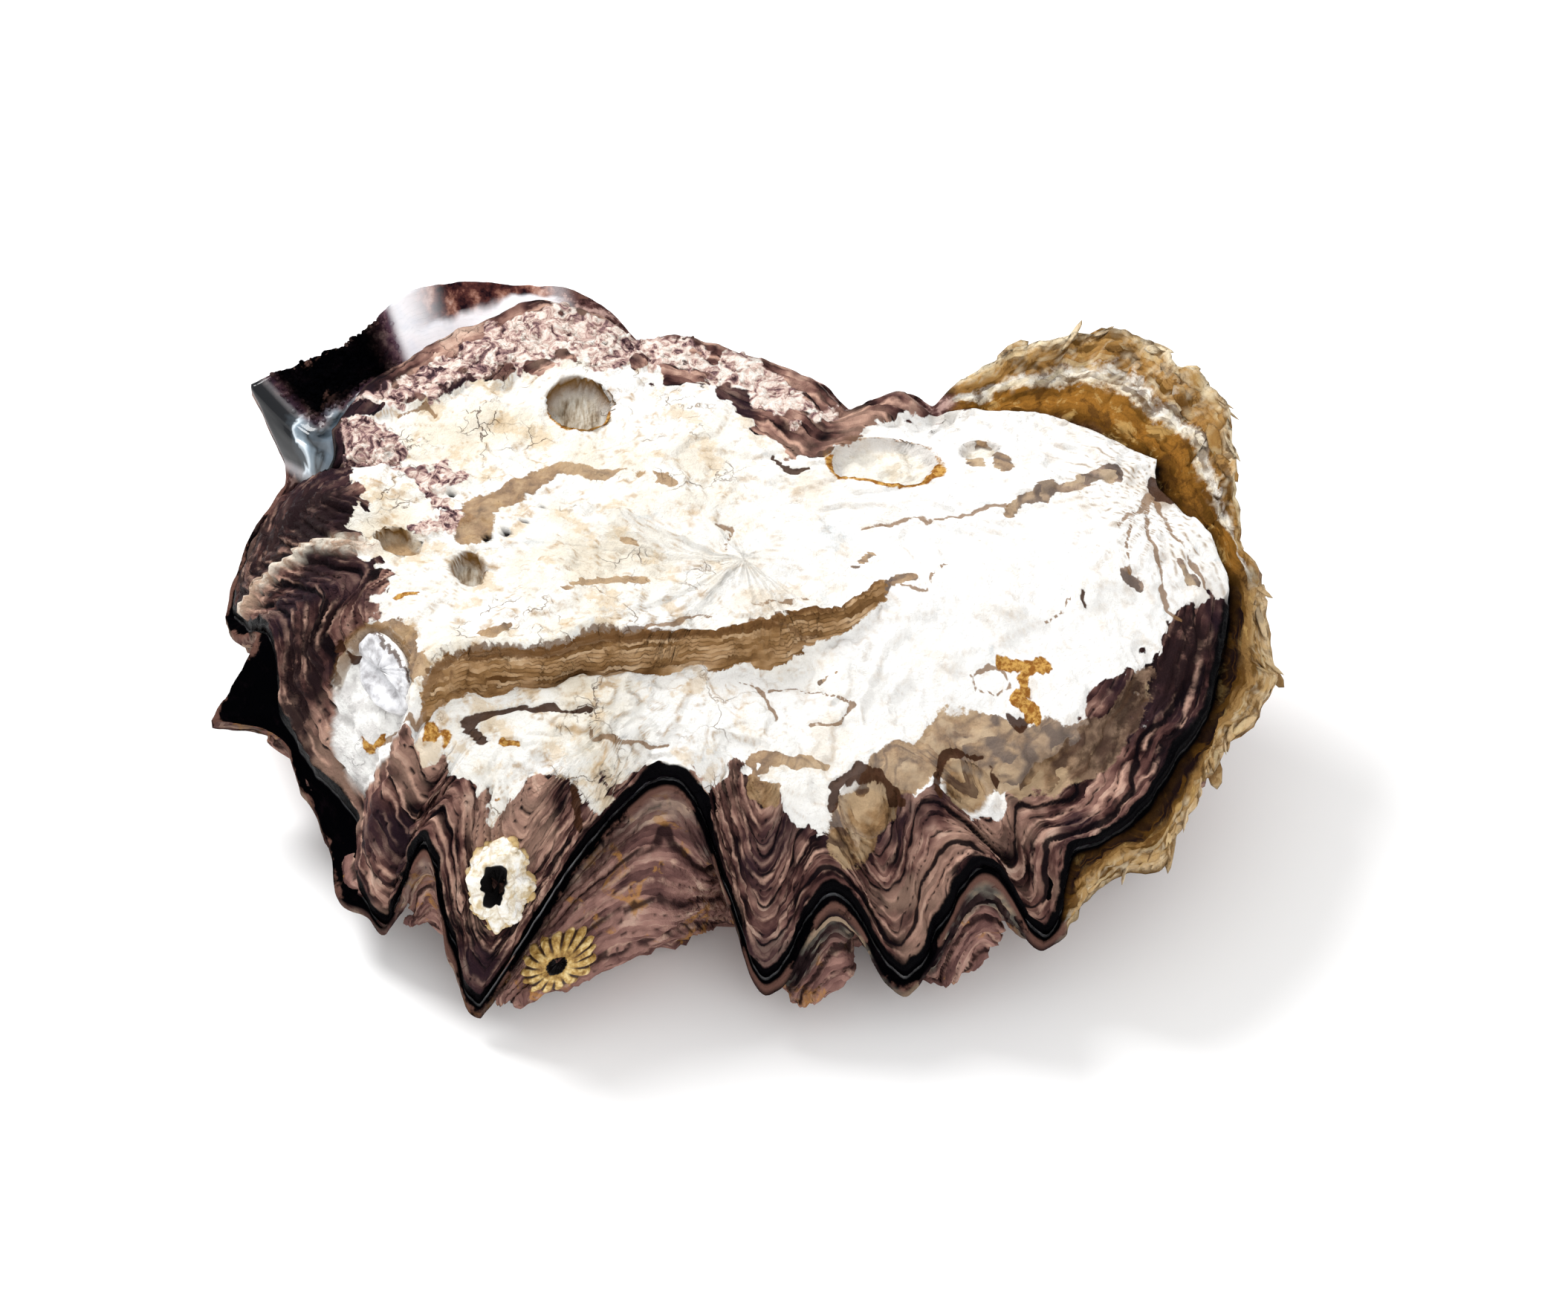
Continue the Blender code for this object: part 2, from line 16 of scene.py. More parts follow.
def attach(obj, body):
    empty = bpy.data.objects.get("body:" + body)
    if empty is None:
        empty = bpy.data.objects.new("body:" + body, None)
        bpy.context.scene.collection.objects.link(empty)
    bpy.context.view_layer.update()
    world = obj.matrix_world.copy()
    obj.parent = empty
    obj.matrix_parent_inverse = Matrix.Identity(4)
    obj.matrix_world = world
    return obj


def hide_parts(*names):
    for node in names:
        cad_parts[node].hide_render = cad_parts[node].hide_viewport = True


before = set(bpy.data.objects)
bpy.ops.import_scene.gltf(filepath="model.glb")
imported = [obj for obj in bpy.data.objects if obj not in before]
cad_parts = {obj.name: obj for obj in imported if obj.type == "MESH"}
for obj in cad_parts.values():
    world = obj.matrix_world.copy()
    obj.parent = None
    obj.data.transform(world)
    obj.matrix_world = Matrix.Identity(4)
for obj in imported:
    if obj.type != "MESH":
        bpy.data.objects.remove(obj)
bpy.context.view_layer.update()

MM = 0.001

# %% [markdown]
# ## The margin
# An oyster's two valves meet along one line, and that line is what gives the shell its character: sharp tongues
# hang down between rounded arches. Each station names the upper valve's edge and the lower valve's lip outside it,
# the same places as in the solids. A word says what lines the lip there: nacre, granular, gold or flake. Where no
# word stands, the lip is black, and where no sharpness stands, the margin runs smoothly through the station.

# %% Stations
SMOOTH, BLUNT, POINTED = 0.0, 0.55, 1.0


def station(x, y, z, lip_x, lip_y, lip_z, lining="black", sharpness=SMOOTH):
    return (x, y, z), (lip_x, lip_y, lip_z), sharpness, lining


STATIONS = [station(*row) for row in (
    # The hinge end: a beak, with the golden ligament hollow of the lower valve standing up behind it.
    (49.5, -2, 25, 54, 3.5, 20, "flake"), (48.5, 2.5, 27.5, 52, 6.5, 26, "gold"), (46.5, 6, 29, 51.5, 11, 30, "gold"),
    (42.5, 10, 30, 50.5, 14.5, 33, "gold"), (43, 13, 31.5, 49.5, 18.5, 35, "gold", POINTED),
    (39.5, 14.5, 31.5, 47, 22.5, 36, "gold"), (33, 18.5, 32, 38.5, 27.5, 36.5, "gold"),
    (28.5, 19.5, 32, 31, 27, 35.5, "gold"), (24, 20, 32, 24.5, 25.5, 33.5, "gold"),
    # The low crinkled back.
    (20, 19.5, 31.5, 20, 23, 30, "black", POINTED), (16, 21.5, 33, 16.5, 24.5, 30),
    (10.5, 20.5, 31, 11, 23.5, 29, "black", POINTED), (6.5, 24, 33, 7, 27.5, 29.5), (-0.5, 27, 33.5, 0, 30.5, 29),
    (-6.5, 30, 33.5, -6.5, 33.5, 29.5), (-11.5, 30, 32.5, -11.5, 34, 29, "black", POINTED),
    (-16, 33, 34, -17, 37, 33), (-22.5, 35, 34, -24, 37.5, 34, "nacre"),
    # The back left corner, where the lip of the cup stands proud and shows its lining.
    (-28, 32.5, 33.5, -30, 37.5, 34.5, "nacre"), (-33.5, 28.5, 33.5, -36, 33.5, 36.5, "nacre"),
    (-38.5, 23.5, 33.5, -42, 28.5, 34.5, "granular"), (-41.5, 19.5, 33, -48.5, 27, 31.5, "granular"),
    (-43, 16.5, 32, -52.5, 25, 31, "nacre", POINTED), (-43, 14, 30, -49.5, 21.5, 25.5, "nacre"),
    # The left pleats: a scooped lobe, a high crest, then a long flank with a broad lip.
    (-46.5, 15, 25, -49, 19.5, 22), (-52, 14.5, 18.5, -53, 16.5, 17),
    (-54.5, 9.5, 13, -55.5, 10, 11.5, "black", POINTED), (-52, 2.5, 18, -53.5, 3, 15.5),
    (-48.5, -5.5, 24.5, -50, -4.5, 22.5), (-47.5, -9.5, 18, -55.5, -6, 12, "black", POINTED),
    (-45.5, -12.5, 15, -49, -5.5, 9.5), (-43, -15.5, 14, -46.5, -11.5, 8.5), (-39, -21, 12.5, -43, -18, 7.5),
    (-39, -26, 9.5, -41.5, -25, 6.5), (-38, -27.5, 8.5, -38.5, -28, 7),
    # The front pleats: tongues of the upper valve that come down between the ridges of the cup.
    (-36, -29, 7, -36.5, -29.5, 6, "black", BLUNT), (-31.5, -29.5, 20, -31.5, -30.5, 18),
    (-29, -34.5, 10, -29.5, -35, 8.5), (-26.5, -38, 5, -26.5, -38.5, 3.5, "black", BLUNT),
    (-15, -28.5, 19.5, -15, -29.5, 17.5), (-6.5, -26.5, 26, -6.5, -27.5, 24), (-1.5, -31, 14.5, -1.5, -32, 12.5),
    (1, -36, 9.5, 1, -37, 7.5), (3, -36.5, 8.5, 3.5, -37.5, 7), (9, -34, 17.5, 9, -35, 15.5),
    (14.5, -36, 9, 14.5, -37, 7), (17.5, -36, 9, 17.5, -37, 7), (23.5, -33, 20.5, 23.5, -34, 18.5),
    (29, -32.5, 10.5, 29, -33.5, 9), (31, -32, 10.5, 31.5, -33, 9),
    # The right flank, where the cup's golden growth flakes reach past the upper valve.
    (32.5, -30.5, 19, 34, -30.5, 9.5, "flake"), (36, -29, 20, 36.5, -27.5, 11.5, "flake"),
    (40, -25.5, 21, 42.5, -24, 11, "flake"), (43, -20.5, 22, 45, -19.5, 13.5, "flake"),
    (46, -16, 23, 49, -13.5, 14.5, "flake"), (48, -10, 24, 54.5, -5, 16, "flake"),
)]
SHIFT = np.array([0.39, 0.62, 0.0])  # puts the origin under the middle of the box, as in the solids
COLUMNS = 1200
print(len(STATIONS), "stations,", COLUMNS, "columns round the margin")

# %% [markdown]
# ## Columns
# A closed Hermite curve runs through the stations, with corners at the pointed ones.
# It is sampled evenly by length, so each column of the mesh is about a third of a millimetre wide on every pleat.


# %% Curve through the stations
def smoothstep(low, high, value):
    share = np.clip((value - low) / (high - low), 0.0, 1.0)
    return share * share * (3.0 - 2.0 * share)


def hermite(start, leaving, end, arriving, t):
    """A point on the curve from start to end that has these slopes at its ends."""
    return (
        (2 * t**3 - 3 * t**2 + 1) * start + (t**3 - 2 * t**2 + t) * leaving
        + (3 * t**2 - 2 * t**3) * end + (t**3 - t**2) * arriving
    )


def plateau(low, full, fading, gone, value):
    """0 outside the outer pair, 1 inside the inner pair."""
    return smoothstep(low, full, value) * (1 - smoothstep(fading, gone, value))


def curve_through(points, pointed, steps):
    points = np.array(points, float)
    ahead = np.roll(points, -1, axis=0) - points
    behind = points - np.roll(points, 1, axis=0)
    sharp, evenly = np.array(pointed)[:, None], (ahead + behind) / 2
    leaving = (evenly + (ahead - evenly) * sharp)[:, None]
    arriving = np.roll(evenly + (behind - evenly) * sharp, -1, axis=0)[:, None]
    start, end = points[:, None], np.roll(points, -1, axis=0)[:, None]
    t = (np.arange(steps) / steps)[None, :, None]
    return hermite(start, leaving, end, arriving, t).reshape(-1, points.shape[1])


DENSE = 60
edge_points, lip_points, corners, linings = zip(*STATIONS)
dense_edge = curve_through(edge_points, corners, DENSE)
dense_lip = curve_through(lip_points, corners, DENSE)


def lengths(closed):
    return np.linalg.norm(np.roll(closed, -1, axis=0) - closed, axis=1)


travel = np.concatenate([[0.0], np.cumsum(lengths(dense_edge) + 0.4 * lengths(dense_lip))])
picks = np.interp(np.arange(COLUMNS) / COLUMNS * travel[-1], travel, np.arange(len(travel)))


def pick(closed, at):
    """Values of a closed list at places between its items."""
    closed = np.asarray(closed, float)
    low = np.floor(at).astype(int) % len(closed)
    part = at - np.floor(at)
    part = part.reshape(part.shape + (1,) * (closed.ndim - 1))
    return closed[low] * (1 - part) + closed[(low + 1) % len(closed)] * part


EDGE = pick(dense_edge, picks)
LIP = pick(dense_lip, picks)
STATION_AT = picks / DENSE  # the column's place in the list of stations


def lined(*names):
    """How far each column belongs to the stations whose lip has this lining."""
    marks = np.array([lining in names for lining in linings], float)
    return smoothstep(0.2, 0.8, pick(marks, STATION_AT))


print("margin length in mm:", round(lengths(EDGE).sum(), 1), "column in mm:", round(lengths(EDGE).mean(), 3))

# %% [markdown]
# ## Noise for the relief
# Shell relief is made as real movement of the surface. A lattice noise written with numpy moves hundreds of
# thousands of points in a second, gives the same values each run, and can be bent into terraces and sawteeth.


# %% Noise
def lattice(cell, seed):
    mixed = (
        cell[..., 0].astype(np.int64) * 374761393
        + cell[..., 1].astype(np.int64) * 668265263
        + cell[..., 2].astype(np.int64) * 1442695041
        + seed * 974634777
    ) & 0xFFFFFFFF
    mixed = ((mixed ^ (mixed >> 13)) * 1274126177) & 0xFFFFFFFF
    mixed = ((mixed ^ (mixed >> 16)) * 2246822519) & 0xFFFFFFFF
    return ((mixed ^ (mixed >> 15)) & 0xFFFFFF) / float(0xFFFFFF) * 2 - 1


def soft_noise(points, size, seed):
    """Smooth noise from -1 to 1, whose bumps are about that size."""
    scaled = np.asarray(points, float) / size
    cell = np.floor(scaled)
    part = scaled - cell
    part = part * part * part * (part * (part * 6 - 15) + 10)
    total = 0.0
    for corner in range(8):
        offset = np.array([corner & 1, corner >> 1 & 1, corner >> 2 & 1])
        weight = np.prod(np.where(offset, part, 1 - part), axis=-1)
        total = total + lattice(cell + offset, seed) * weight
    return total


def layered_noise(points, size, octaves, seed, falloff=0.5):
    total, strength, whole = 0.0, 1.0, 0.0
    for octave in range(octaves):
        total = total + strength * soft_noise(points, size / 2**octave, seed + 17 * octave)
        whole += strength
        strength *= falloff
    return total / whole * 1.6


def terraced(height, step, edge):
    """The height cut into flat layers. Also gives how near each place is to a layer's broken edge."""
    layer = height / step
    part = layer - np.floor(layer)
    flat = (np.floor(layer) + smoothstep(0.5 - edge, 0.5 + edge, part)) * step
    return flat, 1.0 - smoothstep(0.0, edge * 1.3, np.abs(part - 0.5))


def sawtooth(distance, spacing):
    """Lamellae: each rises slowly outwards and ends in a drop. Also gives the crease under the drop, which the
    materials paint dark as shade.
    """
    part = distance / spacing - np.floor(distance / spacing)
    rise = smoothstep(0.0, 0.16, part) * (1.0 - part) / 0.84
    return rise, 1.0 - smoothstep(0.0, 0.22, np.minimum(part, 1 - part) * 2)


sample = layered_noise(np.random.default_rng(3).uniform(-40, 40, (2000, 3)), 9.0, 4, 5)
print("noise spread:", round(float(sample.min()), 2), round(float(sample.max()), 2))

# %% [markdown]
# ## Zones drawn in plan
# Where the top is worn to white chalk, and where stains and crusts lie, doesn't follow a rule.
# Such a zone is a loop of listed points in plan. Its edge is frayed with noise, so it never looks cut out.
# Single cracks, stains, seams and runs of rust are lines in plan, with a width each, that wobble with the same noise.


# %% Zones
def inward(loop, x, y):
    """Distance inside a closed loop, negative outside."""
    loop = np.array(loop, float)
    crossings = np.zeros(x.shape, int)
    for (ax, ay), (bx, by) in zip(loop, np.roll(loop, -1, axis=0)):
        spans = (ay > y) != (by > y)
        if by != ay:
            crossings += spans & (x < ax + (y - ay) / (by - ay) * (bx - ax))
    nearest = beside(np.append(loop, loop[:1], axis=0), x, y)
    return np.where(crossings % 2 == 1, nearest, -nearest)


def beside(line, x, y):
    """Distance from an open line."""
    nearest = np.full(x.shape, 1e9)
    for (ax, ay), (bx, by) in zip(line, line[1:]):
        length2 = (bx - ax) ** 2 + (by - ay) ** 2
        along = np.clip(((x - ax) * (bx - ax) + (y - ay) * (by - ay)) / length2, 0, 1)
        nearest = np.minimum(nearest, np.hypot(x - ax - along * (bx - ax), y - ay - along * (by - ay)))
    return nearest


def marked(kind, x, y, rough):
    """The marks of one kind: 1 on their lines, 0 beyond their width. No crack runs straight, so each one wobbles."""
    at = np.stack([x, y, np.zeros_like(x)], axis=-1)
    wobble = [0.42 * layered_noise(at, 2.2, 3, 15), 0.42 * layered_noise(at, 2.2, 3, 16)]
    found = np.zeros(x.shape)
    for half, *line in MARKS[kind]:
        away = beside(np.reshape(line, (-1, 2)), x + wobble[0], y + wobble[1]) / half + rough * min(0.5 / half, 0.8)
        found = np.maximum(found, 1 - np.clip(away / 3, 0, 1) if kind == "hair" else 1 - smoothstep(0.5, 1.4, away))
    return found


WORN = [
    (-41, 16), (-39, 19), (-35.5, 20), (-32, 20), (-29, 24), (-25, 25), (-21.5, 24), (-17.5, 27), (-14, 26.5),
    (-10, 25.5), (-6.5, 23.5), (-3, 22), (0, 17.5), (3, 13), (7, 11), (10, 14), (14.5, 17), (19, 18), (22, 21),
    (28, 23), (33, 22), (40, 18), (45, 15), (49, 9), (51, 3), (51, -1.5), (47.5, -4), (42, -7.5), (38.5, -13),
    (34.5, -16.5), (30.5, -19.5), (26.5, -24.5), (23.5, -27), (19.5, -26), (15.5, -27), (12.5, -29), (8.5, -29.5),
    (5, -28.5), (1, -27.5), (-1.5, -26), (-5.5, -25.5), (-9, -25.5), (-14, -26), (-17.5, -27.5), (-22, -28),
    (-26, -27), (-31.5, -24), (-36.5, -19), (-39, -16), (-40, -12.5), (-38.5, -11), (-36.5, -10.5), (-36, -7),
    (-38, -2), (-39.5, 3), (-40.5, 11),
]
STAINED = [
    (8.8, -30.5), (9.6, -26.8), (12.8, -24), (17.6, -21.2), (22.1, -19.7), (29.5, -19), (35.6, -16.7), (40.3, -11.9),
    (37.1, -19.6), (31.7, -24.4), (25.4, -24.6), (19, -25.5), (15.8, -26.8), (15.7, -29.2), (12.5, -30.6),
]
CRUST = [
    (-42, 17), (-38.5, 18), (-34, 12), (-30, 7), (-27.5, 1.5), (-29.5, -0.5), (-32.5, 3), (-36, 8.5), (-40, 12),
]
BACK_CRUST = [
    (-40, 20), (-33, 27), (-27, 31), (-21, 33.5), (-15, 31.5), (-9, 29), (-5, 28), (0, 25.5), (5, 22.5), (9, 19),
    (5, 16), (1, 19), (-3, 22.5), (-8, 24.5), (-13, 26), (-19, 26.5), (-24, 24.5), (-30, 23), (-35, 19.5),
]
ARC = [
    (-27.6, -0.5), (-27, 2.5), (-24, 5.2), (-21.5, 7.4), (-18.5, 9.2), (-17, 9.2), (-15.2, 7.9), (-12.2, 8.9),
    (-9.3, 8.2), (-7.8, 7),
]
RIDGE = [(-54, 2.7), (-50, 3.6), (-46.9, 2.7), (-43, 1.0), (-39.8, -1.4), (-37.5, -1.4)]
# Scars and pits: x, y, half length, half width, turn in degrees, depth.
PITS = {
    "oval": (-17.5, 20.0, 3.0, 3.6, 10, 1.8),
    "long": (14.5, 11.5, 5.8, 3.6, 0, 1.2),
    "small": (24.5, 13.5, 2.2, 1.6, 10, 1.0),
    "slot": (-35.0, -1.0, 2.9, 1.5, -42, 1.8),
    "grey": (-27.7, -5.4, 1.7, 2.4, 15, 1.5),
    "pearl": (-37.0, -15.8, 6.2, 3.7, -54, 1.6),
    "front": (12.3, -28.0, 2.9, 2.3, 0, 1.0),
    "front_right": (22.2, -25.0, 2.8, 2.0, 0, 0.6),
}
# Cracks, stains, dark seams, rust and patches of painted shade, each along its own line: half width, then x, y, x, y
# and so on.
MARKS = {
    "hair": [
        (0.24, -9.6, -14.3, -7.1, -13.2, -5.3, -11.3, -3.4, -11.5), (0.24, 0.7, -10.1, 2.9, -9, 5.9, -8.7, 7.3, -9.1),
        (0.2, 0.3, -12.3, 3.6, -12.2, 7.3, -11.5), (0.18, -15.4, -21.5, -15, -23.8, -10.3, -23.5, -7.3, -23.7),
        (0.18, -0.1, -16.8, 1.4, -17.3, 2.9, -20.4),
        (0.16, 2.2, -17.6, 5.1, -17, 8.8, -17.7, 11, -19, 9.5, -20.3, 6.6, -21),
        (0.22, 11.9, 1.8, 15, 3.1, 18.8, 3.6, 22.6, 4.3, 26.4, 5.1),
        (0.2, 15.9, -6.5, 18.6, -6.8, 19.5, -4.1, 20.6, -1.9), (0.32, 41.8, 9, 40.2, 5.8, 37.7, 2.7),
        (0.26, 41.8, 9, 39.5, 3.7, 38.6, 0.9, 39, -2.7), (0.26, 41.8, 9, 41.2, 3.5, 42.2, -0.5, 42.8, -5, 43.9, -5.9),
        (0.26, 42.1, 9.1, 43.6, 4.3, 45.4, 0.6, 46.8, -1.7),
        (0.2, 23.1, -14.9, 24.4, -13.7, 26.3, -13.4, 26.8, -15.1, 25.5, -16.2, 23.6, -16.2, 23.1, -14.9),
        (0.25, -36.2, -18.6, -32.3, -21.2, -31.2, -20.9), (0.18, 30.2, -8.6, 32.2, -7.3, 33, -5.7),
        (0.25, -28.6, -18.5, -30.7, -19.1, -31.3, -20.2), (0.2, -3.2, 1.1, -1.3, 0.9, -2, -2.4),
        (0.25, -35.9, 18.2, -33.7, 19.7, -32.1, 18.2),
    ],
    "stain": [
        (0.45, -18.1, -10, -16, -8.7, -12.7, -7.3, -9.8, -7.1), (0.45, 26.8, 4.4, 28.4, 6, 30.3, 6.6),
        (0.8, 30.3, 7, 33.4, 8.6, 35.8, 10.1, 38.2, 10.9), (0.4, 11.1, -9.2, 13.3, -7.5, 16, -5.2, 17.1, -4.8),
        (0.5, 38.7, -2.7, 40.2, -3.5), (0.5, 44.6, 0.2, 45.4, -1.7),
        (0.8, 23.4, 11.1, 24.6, 14.4, 26.3, 11.9, 26.7, 10.2),
        (0.7, 1.6, -25.8, 2.5, -24.5, 4.4, -24.6, 6.6, -24.7, 8.2, -25.1), (0.7, 1.1, -25, 1.3, -27.3, 2.9, -27.6),
        (0.8, -37.2, -11.6, -34.9, -12.1, -32.6, -14.4, -31.6, -18.2),
        (0.4, -25.7, -15.5, -24.1, -15.2, -22.8, -14.7), (0.3, 7.7, -16.3, 9.5, -15.7), (0.3, 11.1, -3.4, 12.7, -1.7),
        (0.3, -12.5, -2.3, -11, -2.5),
    ],
    "dark": [
        (0.36, -27.8, -22.3, -24.9, -21.4, -22, -20.9, -19.1, -21, -15.4, -21.5),
        (0.26, -27.8, -22.3, -26.7, -23.1, -25.7, -24), (0.55, 42.5, 10.4, 43.5, 8.5),
        (0.3, 2.5, 13, 2.5, 11.4, 4.4, 9.4, 6.7, 9.4), (0.6, 27, -18.5, 27.6, -18.5),
        (0.3, -40.9, -10.3, -38, -12.3, -35.8, -13.5, -34.9, -15, -34.5, -16.7), (0.6, -16.5, -27.4, -16.4, -27.6),
        (0.25, -6.9, -0.3, -6.6, -0.1), (0.25, 34, -5.6, 34.5, -6.5),
        (0.32, 19.2, -25.8, 20, -22.9, 22.1, -22.1, 24.2, -22.6, 25.2, -24.1),
        (0.45, 8.9, -28.3, 9.2, -26.7, 11, -25.5, 13.2, -25.6, 15.5, -27.4),
    ],
    "rust": [
        (0.45, 26, -12.8, 28.6, -13.2, 30.1, -12.5), (0.65, 28.2, -13.3, 28.1, -15.2, 27.5, -16.6, 29, -17.8),
        (0.6, -30.8, -22.2, -29.3, -22.7), (0.45, -39.2, -16.2, -36.2, -18.2), (0.3, -23.4, -24.2, -21.5, -24.7),
    ],
    # Painted shade: dark patches on the left lobe, by the pearl scar and on the right flank.
    "shade": [
        (3.8, -51.5, 10.5, -46.4, 8.3, -41.6, 0.5), (2.4, -45.4, -8.7, -45.2, -10.5), (2.4, 41.7, -13.7, 45, -8),
    ],
}
SILTED = ("front", "front_right", "slot")
PALE_FLOORS = ("long", "small")
print(len(WORN) + len(STAINED) + len(CRUST) + len(BACK_CRUST), "zone points,", len(PITS), "pits,",
      sum(map(len, MARKS.values())), "marks")

# %% [markdown]
# ## The plate of the upper valve
# The top is two plateaus. The higher one is an older layer of shell that has broken away along a ledge, and the
# lower one falls gently to the front. Past the shoulder, each column bends down to its own height on the margin,
# which makes the tongues and arches. These are the rules of the solids, so the dressed valve keeps their shape.

# %% Plate
MIDDLE = np.array([0.0, -4.0])  # the rings of both valves close in on this point
EDGE_THICKNESS = 1.0
PLATE_THICKNESS = 3.0
SHOULDER = 0.74  # the share of the way out at which the plate starts to bend down
BEND_POWER = 1.7
CROWN_HEIGHT, CROWN_AT, CROWN_CURVE = 33.4, -15.0, 0.0009
FRONT_SLOPE, FRONT_CURVE = 0.24, 0.01
VALVE_GAP = 0.5
LEDGE = [
    (-60, -30), (-36, -25), (-30, -20), (-17, -17.5), (-5, -15.5), (4, -13.5), (11, -10), (17, -6), (30, 0), (60, 3),
]
LEDGE_HEIGHT = 3.8
LEDGE_RUN = 1.6
LEDGE_FADES = (2.0, 19.0)  # x where it starts to fade, and where it is gone


def softened(outline, reach=9.0):
    """The outline with its pleats averaged away."""
    steps = lengths(outline)
    along = np.concatenate([[0], np.cumsum(steps)])
    away = np.abs(along[:-1, None] - along[None, :-1])
    away = np.minimum(away, along[-1] - away)
    weight = np.exp(-((away / reach) ** 2)) * (steps + np.roll(steps, 1))[None, :]
    return (weight @ outline) / weight.sum(axis=1, keepdims=True)


SOFT_EDGE = softened(EDGE[:, :2])


def ring(share):
    pleats = smoothstep(0.5, 1.0, share)
    return MIDDLE + (SOFT_EDGE - MIDDLE) * share + (EDGE[:, :2] - SOFT_EDGE) * pleats


def beyond_ledge(x, y):
    line = np.array(LEDGE, float)
    return np.interp(x, line[:, 0], line[:, 1]) - y


def crown(x):
    return CROWN_HEIGHT - CROWN_CURVE * (x - CROWN_AT) ** 2


def front_fall(x, y):
    ahead = np.maximum(beyond_ledge(x, y), 0.0)
    return FRONT_SLOPE * ahead + FRONT_CURVE * ahead**2


def ledge_drop(x):
    return LEDGE_HEIGHT * (1.0 - smoothstep(*LEDGE_FADES, x))


def across_pit(name, x, y):
    px, py, half_x, half_y, turn = PITS[name][:5]
    c, s = math.cos(math.radians(turn)), math.sin(math.radians(turn))
    along = ((x - px) * c + (y - py) * s) / half_x
    across = (-(x - px) * s + (y - py) * c) / half_y
    return np.hypot(along, across)


def pit_depth(x, y, fray):
    depth = np.zeros_like(x)
    for name, pit in PITS.items():
        depth = np.maximum(depth, pit[5] * (1.0 - smoothstep(0.76, 0.98, across_pit(name, x, y) + 0.05 * fray)))
    return depth


def bend(share):
    return (max(share - SHOULDER, 0.0) / (1.0 - SHOULDER)) ** BEND_POWER


def plate_underside(x, y):
    return crown(x) - ledge_drop(x) - front_fall(x, y) - PLATE_THICKNESS


def upper_lining(share):
    plan = ring(share)
    down = bend(share)
    height = plate_underside(*plan.T) * (1 - down) + (EDGE[:, 2] - EDGE_THICKNESS) * down
    return np.column_stack([plan, height])


print("ledge in mm:", LEDGE_HEIGHT, "shoulder at share", SHOULDER)

# %% [markdown]
# ## A skin of rings
# Both valves are skins of rings that close in on the middle. Near the margin every column counts.
# Towards the middle the columns crowd together, so every second one is left out wherever the circle has halved.
# This keeps the triangles about the same size all over.


# %% Rings to a mesh
class Skin:
    """Collects rings of points, their paint values, and the triangles between them."""

    def __init__(self, paints):
        self.paints = paints
        self.points, self.values, self.faces = [], [], []
        self.count = 0

    def add(self, points, values):
        self.points.append(points)
        self.values.append(values)
        self.count += len(points)
        return np.arange(self.count - len(points), self.count)

    def band(self, outer, inner, flip=False):
        if len(outer) == len(inner):
            o2, i2 = np.roll(outer, -1), np.roll(inner, -1)
            faces = np.concatenate([np.stack([outer, o2, i2], 1), np.stack([outer, i2, inner], 1)])
        else:
            a, b, c = outer[::2], outer[1::2], np.roll(outer[::2], -1)
            i2 = np.roll(inner, -1)
            faces = np.concatenate([np.stack([a, b, inner], 1), np.stack([b, i2, inner], 1), np.stack([b, c, i2], 1)])
        self.faces.append(faces[:, ::-1] if flip else faces)

    def close(self, outline, point, values, flip=False):
        hub = self.add(point[None], values[None])[0]
        faces = np.stack([outline, np.roll(outline, -1), np.full(len(outline), hub)], 1)
        self.faces.append(faces[:, ::-1] if flip else faces)

    def rings(self, shares, grid, values, thin, flip=False, first=None):
        """Adds the rings of a grid. thin(share) says how many columns make one there."""
        last = first
        for share, points, painted in zip(shares, grid, values):
            every = thin(share)
            found = self.add(points[::every], painted[::every])
            if last is not None:
                self.band(last, found, flip)
            last = found
        return last

    def object(self, name):
        points = (np.concatenate(self.points) + SHIFT) * MM
        faces = np.concatenate(self.faces)
        values = np.concatenate(self.values)
        mesh = bpy.data.meshes.new(name)
        mesh.vertices.add(len(points))
        mesh.vertices.foreach_set("co", points.astype(np.float32).ravel())
        mesh.loops.add(faces.size)
        mesh.loops.foreach_set("vertex_index", faces.astype(np.int32).ravel())
        mesh.polygons.add(len(faces))
        mesh.polygons.foreach_set("loop_start", np.arange(0, faces.size, 3, dtype=np.int32))
        mesh.update(calc_edges=True)
        mesh.validate()
        mesh.shade_smooth()
        for i, paint in enumerate(self.paints):
            mesh.attributes.new(paint, "FLOAT", "POINT").data.foreach_set("value", values[:, i].astype(np.float32))
        made = bpy.data.objects.new(name, mesh)
        bpy.context.scene.collection.objects.link(made)
        print(name, len(faces), "triangles")
        return made


def normals_of(grid):
    """The direction away from the surface at each point of a grid of closed rings."""
    along = np.roll(grid, -1, axis=1) - np.roll(grid, 1, axis=1)
    inwards = np.gradient(grid, axis=0)
    found = np.cross(along, inwards)
    return found / np.maximum(np.linalg.norm(found, axis=2, keepdims=True), 1e-9)


def growth_of(grid):
    """Distance in from the margin along each column."""
    steps = np.linalg.norm(np.diff(grid, axis=0), axis=2)
    return np.concatenate([np.zeros((1, grid.shape[1])), np.cumsum(steps, axis=0)])


def halving(share):
    return 1 if share >= 0.8 else 2 if share >= 0.5 else 4 if share >= 0.25 else 8
